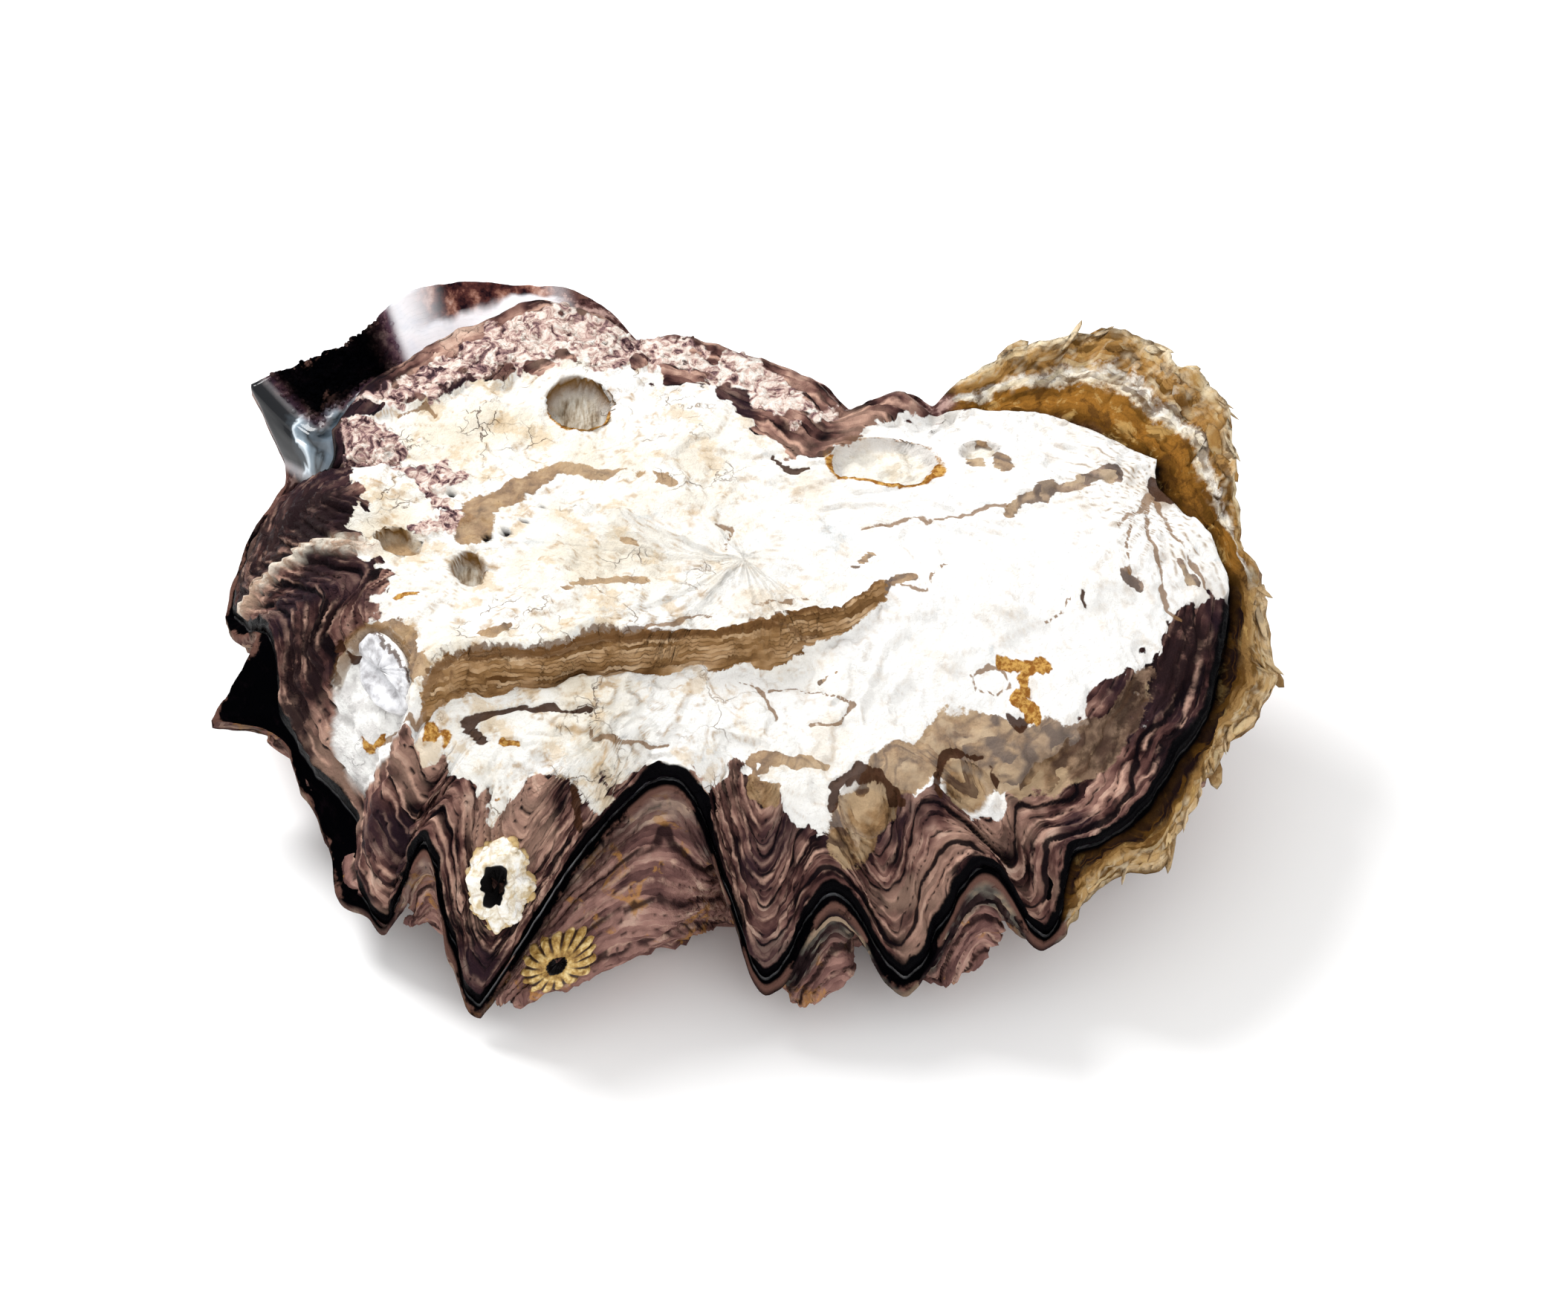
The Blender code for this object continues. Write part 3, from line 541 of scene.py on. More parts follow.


# %% [markdown]
# ## The upper valve
# Three kinds of surface meet on it. The worn top is chalk, broken into thin flat layers. Round it lie the lamellae,
# the growth sheets of the last years, each ending in a small drop with painted shade under it. Crusts of other sea
# life roughen the left.
# The relief is added along the surface's own direction, and each kind leaves a paint value on the points, so the
# material later knows where it is.

# %% Crinkled edges
outwards = EDGE[:, :2] - SOFT_EDGE * 0.5 - MIDDLE * 0.5
outwards = outwards / np.linalg.norm(outwards, axis=1, keepdims=True)
EDGE_FRILL, EDGE_RISE = 0.38, 0.25
frill = layered_noise(EDGE, 3.2, 4, 71)
gold_lip, flake_lip = lined("gold"), lined("flake")
nacre_lip, granular_lip = lined("nacre", "granular"), lined("granular")
EDGE[:, :2] += outwards * (EDGE_FRILL * frill)[:, None]
EDGE[:, 2] += EDGE_RISE * layered_noise(EDGE, 2.4, 3, 72)
ragged = 0.35 + 0.75 * np.maximum(np.maximum(gold_lip, flake_lip), granular_lip)
LIP[:, :2] += outwards * (ragged * (layered_noise(LIP, 4.2, 4, 73) - 0.25))[:, None]
LIP[:, 2] += 0.7 * ragged * (layered_noise(LIP, 2.8, 4, 74) - 0.2)
SOFT_EDGE = softened(EDGE[:, :2])
print("edge frill in mm:", round(float(np.abs(frill).max() * EDGE_FRILL), 2))

# %% Upper valve: form
ZONES = ((1.0, 0.8, 38), (0.8, 0.5, 40), (0.5, 0.25, 32), (0.25, 0.02, 14))
upper_shares = np.concatenate([np.linspace(a, b, n, endpoint=False) for a, b, n in ZONES] + [[0.02]])
plan = np.stack([ring(share) for share in upper_shares])
x, y = plan[..., 0], plan[..., 1]
flat = np.concatenate([plan, np.zeros_like(plan[..., :1])], axis=-1)
fray = layered_noise(flat, 5.0, 4, 11)
fine_fray = layered_noise(flat, 1.6, 3, 12)
ledge_at = beyond_ledge(x, y) + 0.9 * fray + 0.35 * fine_fray
ledge_step = smoothstep(-LEDGE_RUN, 0.0, ledge_at)
top = crown(x) - ledge_drop(x) * ledge_step - front_fall(x, y) - pit_depth(x, y, fine_fray)
down = np.array([bend(share) for share in upper_shares])[:, None]
face = np.concatenate([plan, (top * (1 - down) + EDGE[None, :, 2] * down)[..., None]], axis=-1)
growth = growth_of(face)
print("from margin to middle in mm:", round(float(growth[-1].mean()), 1))

# %% Upper valve: relief
TERRACE, THIN_TERRACE = 0.36, 0.17  # thickness of the chalk's layers
SHEET, YEAR = 1.55, 4.6  # spacing of the lamellae, and of the thicker ones that end a season
worn = smoothstep(-0.8, 0.8, inward(WORN, x, y) + 1.7 * fray + 0.9 * fine_fray)
crust = smoothstep(-1.2, 1.2, np.maximum(inward(CRUST, x, y), inward(BACK_CRUST, x, y)) + 2.2 * fray + fine_fray)
stained = smoothstep(-1.0, 1.0, inward(STAINED, x, y) + 1.6 * fray)
broad = layered_noise(face, 17.0, 4, 21) * 1.15 + 0.25 * fray
layers, layer_edge = terraced(broad, TERRACE, 0.07)
thin_layers, thin_edge = terraced(layered_noise(face, 6.5, 4, 22) * 0.55 + 0.3 * broad, THIN_TERRACE, 0.08)
wander = growth + 1.5 * layered_noise(face, 9.0, 3, 31) + 0.4 * layered_noise(face, 2.4, 3, 32)
sheet, crease = sawtooth(wander, SHEET)
book, book_crease = sawtooth(wander + 1.3, YEAR)
crumple = layered_noise(face, 4.5, 4, 41)
rough = layered_noise(face, 1.5, 3, 42)
has_ledge = smoothstep(0.25, 1.2, ledge_drop(x)) * smoothstep(-33.0, -30.0, x)
wall = plateau(-LEDGE_RUN - 0.3, -LEDGE_RUN + 0.4, 0.0, 0.9, ledge_at) * has_ledge
strata = sawtooth(face[..., 2] + 0.1 * fray, 0.62)[0]
hair = marked("hair", x, y, 0.5 * fine_fray)
seam = marked("dark", x, y, fine_fray)
ridge = (1 - smoothstep(0.35, 1.5, beside(RIDGE, x, y) + 0.5 * fray)) * smoothstep(-55.0, -51.0, x)

lamellar = (1 - worn) * (1 - 0.6 * crust)
# The chalk is flat and broken, the lamellae stand high, the crust is lumpy, and the ledge shows its layers.
relief = worn * ((layers + thin_layers) * (1 - wall) + 0.05 * rough + 0.06 * fine_fray)
relief += lamellar * (0.42 * sheet + 0.75 * book - 0.45 + 0.45 * crumple + 0.07 * rough)
relief += crust * (0.45 * crumple + 0.28 * rough)
relief += wall * (0.42 * strata + 0.12 * crumple)
relief += 0.9 * ridge
relief -= 0.35 * seam + 0.16 * smoothstep(0.5, 0.8, hair)
relief -= stained * 0.25
relief *= smoothstep(0.0, 0.8, growth)
face = face + normals_of(face) * relief[..., None]
print("relief in mm:", round(float(relief.min()), 2), "to", round(float(relief.max()), 2))

# %% Upper valve: paint values
FAINT = 0.3  # how dark the rim of a shallow pit is
pit_wall, pit_floor, silted, pale_floor = np.zeros((4, *x.shape))
for name in PITS:
    across = across_pit(name, x, y) + 0.05 * fine_fray
    rim = plateau(0.7, 0.86, 0.96, 1.08, across)
    # Painted shade: a silted scar's rim is painted only on its back half, and the pearl scar's rim is darkest on its
    # far side, where its wall lies in shade.
    if name in SILTED:
        rim = rim * smoothstep(-0.1, 0.6, (y - PITS[name][1]) / PITS[name][3])
    if name == "pearl":
        shaded_far_side = smoothstep(0.0, 2.5, 0.5 * (x - PITS[name][0]) + 0.85 * (y - PITS[name][1]))
        rim = rim * (FAINT + (1 - FAINT) * shaded_far_side)
    pit_wall = np.maximum(pit_wall, rim * (FAINT if name in (*PALE_FLOORS, *SILTED[:2]) else 1.0))
    pit_floor = np.maximum(pit_floor, 1 - smoothstep(0.7, 0.82, across))
    if name in SILTED:
        silted = np.maximum(silted, 1 - smoothstep(0.7, 0.9, across))
    if name in PALE_FLOORS:
        pale_floor = np.maximum(pale_floor, 1 - smoothstep(0.8, 1.0, across))
print("scars whose floor is silt:", *SILTED)

# %% Upper valve: stains and rust
scar = across_pit("pearl", x, y) + 0.05 * fine_fray
pearl_scar = 1 - smoothstep(0.92, 1.02, scar)
arc_half = 1.25 + 1.4 * smoothstep(-17.0, -25.0, x)
arc = 1 - smoothstep(0.25, 1.0, (beside(ARC, x, y) + 1.0 * fray + 0.4 * fine_fray) / arc_half)
stains = np.maximum(np.maximum(stained, arc * 0.95), marked("stain", x, y, fine_fray))
shade = marked("shade", x, y, 2.0 * fray)
long_rim = across_pit("long", x, y) + 0.06 * fine_fray
rust = (0.5 + 0.4 * smoothstep(13.5, 10.5, y)) * plateau(0.86, 0.94, 1.02, 1.2, long_rim)
rust = rust * smoothstep(-0.6, 0.3, fray + 0.2)
RUST_SPOTS = [(-24.0, -28.5, 0.9, 0.5), (-33.5, -9.6, 1.6, 0.4)]  # x, y, half length, half width
for spot_x, spot_y, half_x, half_y in RUST_SPOTS:
    near = np.hypot((x - spot_x) / half_x, (y - spot_y) / half_y) + 0.45 * fray + 0.3 * fine_fray
    rust = np.maximum(rust, 1 - smoothstep(0.55, 1.15, near))
oval_rim = plateau(0.84, 0.94, 1.1, 1.28, across_pit("oval", x, y) + 0.08 * fine_fray) * smoothstep(20.5, 18.0, y)
rust = np.maximum(np.maximum(rust, marked("rust", x, y, fine_fray)), 0.75 * oval_rim)
print("share of the top that is stained:", round(float(stains.mean()), 3), "rusty:", round(float(rust.mean()), 3))

# %% Upper valve: bored holes, the fan and the painted shade under the brink
holes = np.zeros_like(x)
BORE_DEPTH = 0.5
BORES = [(-26.0, -1.5, 0.62), (-24.0, -1.0, 0.6), (-22.2, 0.3, 0.35), (-20.5, 2.5, 0.3), (-30.0, 6.0, 0.4)]
for hole_x, hole_y, radius in BORES:
    holes = np.maximum(holes, 1 - smoothstep(0.6, 1.1, np.hypot(x - hole_x, y - hole_y) / radius))
face[..., 2] -= BORE_DEPTH * holes

UMBO = (43.0, 8.5)  # the oldest point of the valve, from which fine folds run out like a fan
from_umbo = np.hypot(x - UMBO[0], y - UMBO[1])
rays = sawtooth(np.arctan2(y - UMBO[1], x - UMBO[0]) * 6.5 + 0.35 * fray + 0.25 * fine_fray, 1.0)[1]
fan = rays * smoothstep(15.0, 5.0, from_umbo + 2.0 * fray)
fan = np.maximum(fan, 0.8 * smoothstep(2.2, 0.8, from_umbo + 0.6 * fray))
# Painted shade: a dark band on the top of the ledge's wall, just under its brink.
brink = plateau(-LEDGE_RUN - 0.35, -LEDGE_RUN - 0.05, -LEDGE_RUN + 0.3, -LEDGE_RUN + 0.8, ledge_at) * has_ledge
pale_edge = smoothstep(-1.0, 1.5, inward(WORN, x, y) - 1.0) * smoothstep(15.0, 22.0, x)

upper_paint = {
    "worn": worn, "growth": growth, "crease": np.maximum(crease * 0.8, book_crease),
    "layer_edge": np.maximum(layer_edge, 0.8 * thin_edge), "wall": wall, "stains": stains, "rust": rust,
    "pit_wall": pit_wall, "pit_floor": pit_floor, "crust": crust, "holes": holes, "fan": fan, "brink": brink,
    "pale_edge": pale_edge, "silted": silted, "pale_floor": pale_floor, "pearl_scar": pearl_scar, "ridge": ridge,
    "hair": hair, "seam": seam, "shade": shade,
}
UPPER_PAINTS = list(upper_paint)
upper_values = np.stack(list(upper_paint.values()), axis=-1)
print(len(UPPER_PAINTS), "paint values on the upper valve")

# %% Upper valve: mesh
HIDDEN_SHARES = (1.0, 0.965, 0.93, 0.86, 0.74, 0.45)


def hidden_thin(share):
    return 1 if share >= 0.95 else 2 if share >= 0.9 else 4 if share >= 0.8 else 8


upper = Skin(UPPER_PAINTS)
inmost = upper.rings(upper_shares, face, upper_values, halving)
upper.close(inmost, face[-1].mean(axis=0), upper_values[-1].mean(axis=0))
lining = np.stack([upper_lining(share) for share in HIDDEN_SHARES])
plain = np.zeros((len(HIDDEN_SHARES), COLUMNS, len(UPPER_PAINTS)))
lining_last = upper.rings(HIDDEN_SHARES, lining, plain, hidden_thin, flip=True)
upper.close(lining_last, np.array([*MIDDLE, float(plate_underside(*MIDDLE))]), plain[0, 0], flip=True)
outer_rim = np.arange(COLUMNS)
inner_rim = sum(len(p) for p in upper.points[: len(upper_shares) + 1]) + np.arange(COLUMNS)
upper.band(outer_rim, inner_rim, flip=True)
upper_valve = upper.object("upper_valve_dressed")

# %% [markdown]
# ## The lower valve
# The cup is one skin as well: the bare lip that stands out past the upper valve, the hidden bowl, and the outer
# wall from the rim down to the flat scar. Its ridges swell out under the arches and its grooves run under the
# tongues. The wall has only seven rings in the solids, so here a smooth curve runs down each column through them.

# %% Lower valve: form
BASE_SIZE = (31.0, 20.0)
BELLY_SIZE = (48.5, 35.0)
BELLY_HEIGHT = 7.0
FRONT_PLEATS = [
    (-36.5, 1.0, 7.0, 0.0), (-33.5, 1.0, 7.0, 4.0), (-30.5, 0.98, 7.0, 0.0), (-28.0, 0.95, 7.0, 0.0),
    (-25.0, 1.06, 5.5, 4.0), (-22.5, 1.09, 4.8, 9.0), (-18.0, 1.08, 5.0, 5.0), (-12.0, 1.01, 6.7, 0.0),
    (-6.5, 0.85, 9.0, -2.0), (-2.5, 0.66, 12.0, -4.0), (1.5, 0.9, 7.0, 0.0), (3.5, 0.97, 5.0, 4.0),
    (5.5, 0.97, 4.2, 8.0), (9.0, 0.95, 5.5, 3.0), (13.0, 0.86, 9.0, -2.0), (15.5, 0.92, 7.0, 0.0),
    (18.5, 0.99, 5.5, 5.0), (20.5, 1.0, 5.0, 8.0), (25.0, 0.98, 7.0, 2.0), (28.5, 0.94, 8.0, 0.0),
    (31.0, 1.0, 7.0, 0.0),
]
CHAMBER_FLOOR = 11.0
CHAMBER_SHARE = 0.74
LIP_THICKNESS = 1.1
HOLLOW_SAG = 2.6  # how far a raised lip dips on its way out
CREST_HEIGHT, TONGUE_HEIGHT = 17.0, 6.0  # the cup's wall is a ridge under the first, a groove under the second


def lower_lining(share):
    found = upper_lining(share)
    found[:, 2] -= VALVE_GAP
    into = 1.0 - smoothstep(0.35, CHAMBER_SHARE, share)
    found[:, 2] = found[:, 2] * (1 - into) + CHAMBER_FLOOR * into
    return found


def lip_face(share):
    start = lower_lining(1.0)
    found = start + (LIP - start) * share
    raised = smoothstep(2.5, 6.0, LIP[:, 2] - start[:, 2] + np.linalg.norm(LIP - start, axis=1) * 0.5)
    found[:, 2] -= HOLLOW_SAG * raised * math.sin(math.pi * share) * (1 - share * 0.5)
    return found


def oval(size, swell=1.0):
    out = LIP[:, :2] - MIDDLE
    return MIDDLE + out * (swell / np.hypot(out[:, 0] / size[0], out[:, 1] / size[1]))[:, None]


def pleat_lean():
    """How far the cup swells under each column, at what height, and how much higher the lip counts there."""
    plain = (1.0, BELLY_HEIGHT, 0.0)
    at, *columns = np.array(FRONT_PLEATS).T
    front = LIP[:, 1] < -20
    return [np.where(front, np.interp(LIP[:, 0], at, values), p) for values, p in zip(columns, plain)]


def wall_keys():
    swelling, belly_height, lift = pleat_lean()
    crest = smoothstep(TONGUE_HEIGHT, CREST_HEIGHT, LIP[:, 2] + lift)[:, None]
    belly = np.column_stack([oval(BELLY_SIZE, swelling), belly_height])
    base = np.column_stack([oval(BASE_SIZE), np.zeros(COLUMNS)])
    rim = LIP - [0, 0, LIP_THICKNESS]
    keys = [rim]
    for down, groove_share in ((0.25, 0.93), (0.5, 0.86), (0.78, 0.8), (1.0, 0.76)):
        swell = 1.0 - (1.0 - down) ** 1.5
        ridge_z = rim[:, 2] + (np.minimum(belly[:, 2], rim[:, 2] * 0.8) - rim[:, 2]) * down
        ridge = np.column_stack([rim[:, :2] + (belly[:, :2] - rim[:, :2]) * swell, ridge_z])
        groove = lower_lining(groove_share)
        groove[:, 2] = (groove[:, 2] - 2.0) * (1 - down**2) + 3.0 * down**2
        keys.append(groove * (1 - crest) + ridge * crest)
    keys.append(base + (keys[-1] - base) * [0.45, 0.45, 0.3])
    keys.append(base)
    return np.stack(keys)


def down_the_wall(keys, steps):
    """A smooth curve down each column through the wall's key rings."""
    slopes = np.gradient(keys, axis=0)
    slopes[-1] = keys[-1] - keys[-2]
    found = []
    for place in np.linspace(0, len(keys) - 1, steps):
        i = min(int(place), len(keys) - 2)
        found.append(hermite(keys[i], slopes[i], keys[i + 1], slopes[i + 1], place - i))
    return np.stack(found)


LIP_RINGS, WALL_RINGS = 26, 42
lip = np.stack([lip_face(share) for share in np.linspace(1.0, 0.0, LIP_RINGS, endpoint=False)])
out = np.linspace(1.0, 0.0, LIP_RINGS, endpoint=False)[:, None] * np.ones((1, COLUMNS))
outside = down_the_wall(wall_keys(), WALL_RINGS)
outside[-1, :, 2] = 0.0
print("lip width in mm:", round(float(np.linalg.norm(LIP - lower_lining(1.0), axis=1).max()), 1))

# %% Lower valve: relief of the lip
lip_growth = growth_of(lip)
one_lip = np.ones_like(lip_growth)
lip_fray = layered_noise(lip, 4.0, 4, 51)
lip_fine = layered_noise(lip, 1.3, 3, 52)
gold_zone = gold_lip[None] * smoothstep(0.04, 0.12, out + 0.05 * lip_fray)
flake_zone = flake_lip[None] * smoothstep(0.06, 0.14, out + 0.05 * lip_fray)
granular_zone = granular_lip[None] * smoothstep(0.12, 0.36, out + 0.22 * lip_fray)
nacre_zone = nacre_lip[None] * (1 - granular_zone)
to_the_right = smoothstep(-37.0, -32.0, LIP[:, 0])[None] * one_lip
rim_dark = smoothstep(0.48, 0.66, out + 0.2 * lip_fray) * nacre_lip[None] * to_the_right
# Painted highlight: where the dark steely nacre at the far left gets a painted bright streak.
steel_and_highlight_zone = nacre_zone * smoothstep(-42.0, -46.0, LIP[:, 0])[None]
flakes, flake_edge = terraced(layered_noise(lip, 6.0, 4, 53) * 1.1 + 0.1 * lip_growth, 0.32, 0.12)
curls = sawtooth(lip_growth + 1.2 * lip_fray, 2.1)[0]
width = np.linalg.norm(LIP - lower_lining(1.0), axis=1)[None]
roomy = smoothstep(1.5, 4.5, width)
lip_relief = (gold_zone + flake_zone) * (0.75 * flakes + 0.4 * curls + 0.3 * lip_fray + 0.14 * lip_fine) * roomy
lip_relief += granular_zone * (0.35 * np.abs(lip_fine) + 0.5 * np.abs(layered_noise(lip, 0.9, 2, 54))) * roomy
lip_relief += (1 - gold_zone - flake_zone - granular_zone) * 0.1 * lip_fray * roomy
lip_relief *= smoothstep(0.0, 0.12, out)
lip = lip + normals_of(lip) * lip_relief[..., None]
print("lip relief in mm:", round(float(lip_relief.min()), 2), "to", round(float(lip_relief.max()), 2))

# %% Lower valve: relief of the wall
WALL_SHEET, WALL_YEAR = 1.9, 6.0
wall_growth = growth_of(outside)
wall_fray = layered_noise(outside, 5.0, 4, 61)
wall_fine = layered_noise(outside, 1.5, 3, 62)
wall_wander = wall_growth + 1.6 * layered_noise(outside, 8.0, 3, 63) + 0.35 * wall_fine
wall_sheet, wall_crease = sawtooth(wall_wander, WALL_SHEET)
wall_book, wall_book_crease = sawtooth(wall_wander + 2.0, WALL_YEAR)
wall_relief = 0.45 * wall_sheet + 0.8 * wall_book - 0.5 + 0.5 * wall_fray + 0.1 * wall_fine
wall_relief = wall_relief * smoothstep(0.2, 1.5, wall_growth) * smoothstep(0.3, 3.0, outside[..., 2])
outside = outside - normals_of(outside) * wall_relief[..., None]
outside[..., 2] = np.maximum(outside[..., 2], 0.0)
print("wall relief in mm:", round(float(wall_relief.min()), 2), "to", round(float(wall_relief.max()), 2))

# %% Lower valve: paint values
LOWER_PAINTS = [
    "inside", "growth", "crease", "gold", "flake", "nacre", "granular", "rim_dark", "layer_edge", "out", "steel",
]


def painted(places, **values):
    """All paint values at these places, 0 for a paint that isn't given."""
    return np.stack([values.get(paint, 0.0) * np.ones_like(places) for paint in LOWER_PAINTS], axis=-1)


lip_values = painted(
    lip_growth, inside=1.0, growth=lip_growth, crease=flake_edge, gold=gold_zone, flake=flake_zone, nacre=nacre_zone,
    granular=granular_zone, rim_dark=rim_dark, layer_edge=flake_edge, out=out, steel=steel_and_highlight_zone,
)
back_gold = np.clip(gold_lip + flake_lip, 0, 1)[None] * (1 - smoothstep(1.5, 7.0, wall_growth + 3.0 * wall_fray))
wall_creases = np.maximum(wall_crease * 0.8, wall_book_crease)
wall_values = painted(
    wall_growth, growth=wall_growth, crease=wall_creases, gold=back_gold, flake=back_gold, out=1.0,
)
hidden_values = painted(np.zeros((len(HIDDEN_SHARES) + 1, COLUMNS)), inside=1.0, nacre=1.0)
print(len(LOWER_PAINTS), "paint values on the lower valve")

# %% Lower valve: mesh
lower = Skin(LOWER_PAINTS)
last = lower.rings(np.ones(LIP_RINGS), lip, lip_values, lambda share: 1)
bowl_shares = (*HIDDEN_SHARES[:-1], 0.55, 0.35)
bowl = np.stack([lower_lining(share) for share in bowl_shares])
hidden_values[0] = lip_values[-1]
last = lower.rings(bowl_shares, bowl, hidden_values, hidden_thin, first=last)
lower.close(last, np.array([*MIDDLE, CHAMBER_FLOOR]), hidden_values[-1, 0])
wall_start = lower.count
last = lower.rings(np.ones(WALL_RINGS), outside, wall_values, lambda share: 1, flip=True)
lower.band(np.arange(COLUMNS), wall_start + np.arange(COLUMNS), flip=True)
for share, every in ((0.93, 2), (0.85, 4), (0.7, 8)):
    inner = MIDDLE + (outside[-1, ::every, :2] - MIDDLE) * share
    found = lower.add(np.column_stack([inner, np.zeros(len(inner))]), wall_values[-1, ::every])
    lower.band(last, found, flip=True)
    last = found
lower.close(last, np.array([*MIDDLE, 0.0]), wall_values[-1, 0], flip=True)
lower_valve = lower.object("lower_valve_dressed")

# %% [markdown]
# ## Node helpers
# Materials are written as short formulas. The output of a node can be added to and multiplied like a number, and a
# colour is built as the shell was: a ground first, then one coat over the other. No node is placed by hand.


# %% Node helpers
class Value:
    """A node's output. Sums and products of values make the math nodes."""

    def __init__(self, graph, socket):
        self.graph, self.socket = graph, socket

    def __add__(self, other):
        return self.graph.math("ADD", self, other)

    def __sub__(self, other):
        return self.graph.math("SUBTRACT", self, other)

    def __rsub__(self, other):
        return self.graph.math("SUBTRACT", other, self)

    def __mul__(self, other):
        return self.graph.math("MULTIPLY", self, other)

    def __truediv__(self, other):
        return self.graph.math("DIVIDE", self, other)

    def __rtruediv__(self, other):
        return self.graph.math("DIVIDE", other, self)

    def __abs__(self):
        return self.graph.math("ABSOLUTE", self)


class Graph:
    """Makes nodes in one tree. An input may be given a value, a socket or a plain number."""

    def __init__(self, tree):
        self.tree = tree

    def feed(self, socket, value):
        if isinstance(value, Value):
            value = value.socket
        if isinstance(value, bpy.types.NodeSocket):
            self.tree.links.new(value, socket)
        elif value is not None:
            if hasattr(socket.default_value, "__len__") and isinstance(value, (int, float)):
                value = (value,) * len(socket.default_value)
            if hasattr(socket.default_value, "__len__") and len(value) == 3 and len(socket.default_value) == 4:
                value = (*value, 1.0)
            socket.default_value = value

    def node(self, kind, settings=None, **inputs):
        made = self.tree.nodes.new(kind)
        for key, value in (settings or {}).items():
            setattr(made, key, value)
        for key, value in inputs.items():
            self.feed(made.inputs[key.replace("_", " ")], value)
        return made

    def filled(self, made, *values):
        """Feeds the first inputs of a node in their order and gives its first output."""
        for socket, value in zip(made.inputs, values):
            self.feed(socket, value)
        return Value(self, made.outputs[0])

    def math(self, operation, *values):
        return self.filled(self.node("ShaderNodeMath", {"operation": operation}), *values)

    def vector(self, operation, *values):
        return self.filled(self.node("ShaderNodeVectorMath", {"operation": operation}), *values)

    def larger(self, a, b):
        return self.math("MAXIMUM", a, b)

    def mix(self, share, a, b):
        made = self.node("ShaderNodeMix", {"data_type": "RGBA", "blend_type": "MIX", "clamp_factor": True})
        for place, value in ((0, share), (6, a), (7, b)):
            self.feed(made.inputs[place], value)
        return Value(self, made.outputs[2])

    def layers(self, colour, *coats):
        """Lays coats over a colour, each given as (how much of it covers, its colour)."""
        for cover, coat in coats:
            colour = self.mix(cover, colour, coat)
        return colour

    def between(self, value, low, high, to_low=0.0, to_high=1.0):
        made = self.node("ShaderNodeMapRange", {"interpolation_type": "SMOOTHSTEP", "clamp": True})
        return self.filled(made, value, low, high, to_low, to_high)

    def noise(self, where, scale, detail=3.0, roughness=0.55, distortion=0.0):
        made = self.node("ShaderNodeTexNoise", Scale=scale, Detail=detail, Roughness=roughness, Distortion=distortion)
        self.feed(made.inputs["Vector"], where)
        return Value(self, made.outputs["Fac"])

    def ramp(self, value, *stops):
        made = self.node("ShaderNodeValToRGB")
        elements = made.color_ramp.elements
        while len(elements) < len(stops):
            elements.new(0.5)
        for element, (place, colour) in zip(elements, stops):
            element.position = place
            element.color = (*colour, 1.0)
        return self.filled(made, value)

    def ragged(self, name, grain, amount, low, high, cover=1.0):
        """A painted mask whose edge frays with a grain."""
        return self.between(self.paint(name) + (grain - 0.5) * amount, low, high, 0.0, cover)

    def paint(self, name):
        return Value(self, self.node("ShaderNodeAttribute", {"attribute_name": name}).outputs["Fac"])

    def group(self, tree, **inputs):
        return self.values(self.node("ShaderNodeGroup", {"node_tree": tree}, **inputs).outputs)

    def values(self, sockets):
        return {socket.name: Value(self, socket) for socket in sockets}

    def axes(self, where):
        """The X, Y and Z of a place."""
        made = self.node("ShaderNodeSeparateXYZ")
        self.feed(made.inputs[0], where)
        return self.values(made.outputs)

    def millimetres(self):
        made = self.node("ShaderNodeVectorMath", {"operation": "SCALE"}, Scale=1 / MM)
        return self.filled(made, self.node("ShaderNodeTexCoord").outputs["Object"])


def new_group(name, inputs, outputs):
    tree = bpy.data.node_groups.new(name, "ShaderNodeTree")
    for label, default in inputs:
        kind = "NodeSocketVector" if default is None else "NodeSocketFloat"
        socket = tree.interface.new_socket(label, in_out="INPUT", socket_type=kind)
        if default is not None:
            socket.default_value = default
    for label in outputs:
        tree.interface.new_socket(label, in_out="OUTPUT", socket_type="NodeSocketFloat")
    graph = Graph(tree)
    start, end = tree.nodes.new("NodeGroupInput"), tree.nodes.new("NodeGroupOutput")
    return tree, graph, graph.values(start.outputs), end.inputs


# %% [markdown]
# ## Shared effects
# Three effects turn up on more than one surface of the shell, so each is a node group that is built once.
# Growth lines follow the distance from the margin, which the mesh carries as a paint value. Cracks are the edges of
# a bent cell pattern. Grit is the fine dark dirt and grain that the sea leaves in everything.

# %% Growth lines
growth_lines, g, given, gives = new_group(
    "growth_lines", [("Place", None), ("Growth", 0.0), ("Spacing", 1.0), ("Wander", 0.6)], ["Line", "Height", "Tone"],
)
drift = (g.noise(given["Place"], 0.22, 4.0) - 0.5) * (given["Wander"] * 6.0)
turns = (given["Growth"] + drift) / given["Spacing"]
saw = g.math("FRACT", turns)
line = g.between(abs(saw - 0.5), 0.5, 0.26)
broken = g.between(g.noise(given["Place"], 0.3, 4.0), 0.4, 0.56)
g.feed(gives["Line"], (1.0 - line) * broken)
g.feed(gives["Height"], saw)
apart = g.node("ShaderNodeCombineXYZ", X=g.math("FLOOR", turns) * 7.3).outputs[0]
g.feed(gives["Tone"], g.noise(g.vector("ADD", given["Place"], apart), 0.16, 3.0, 0.6))

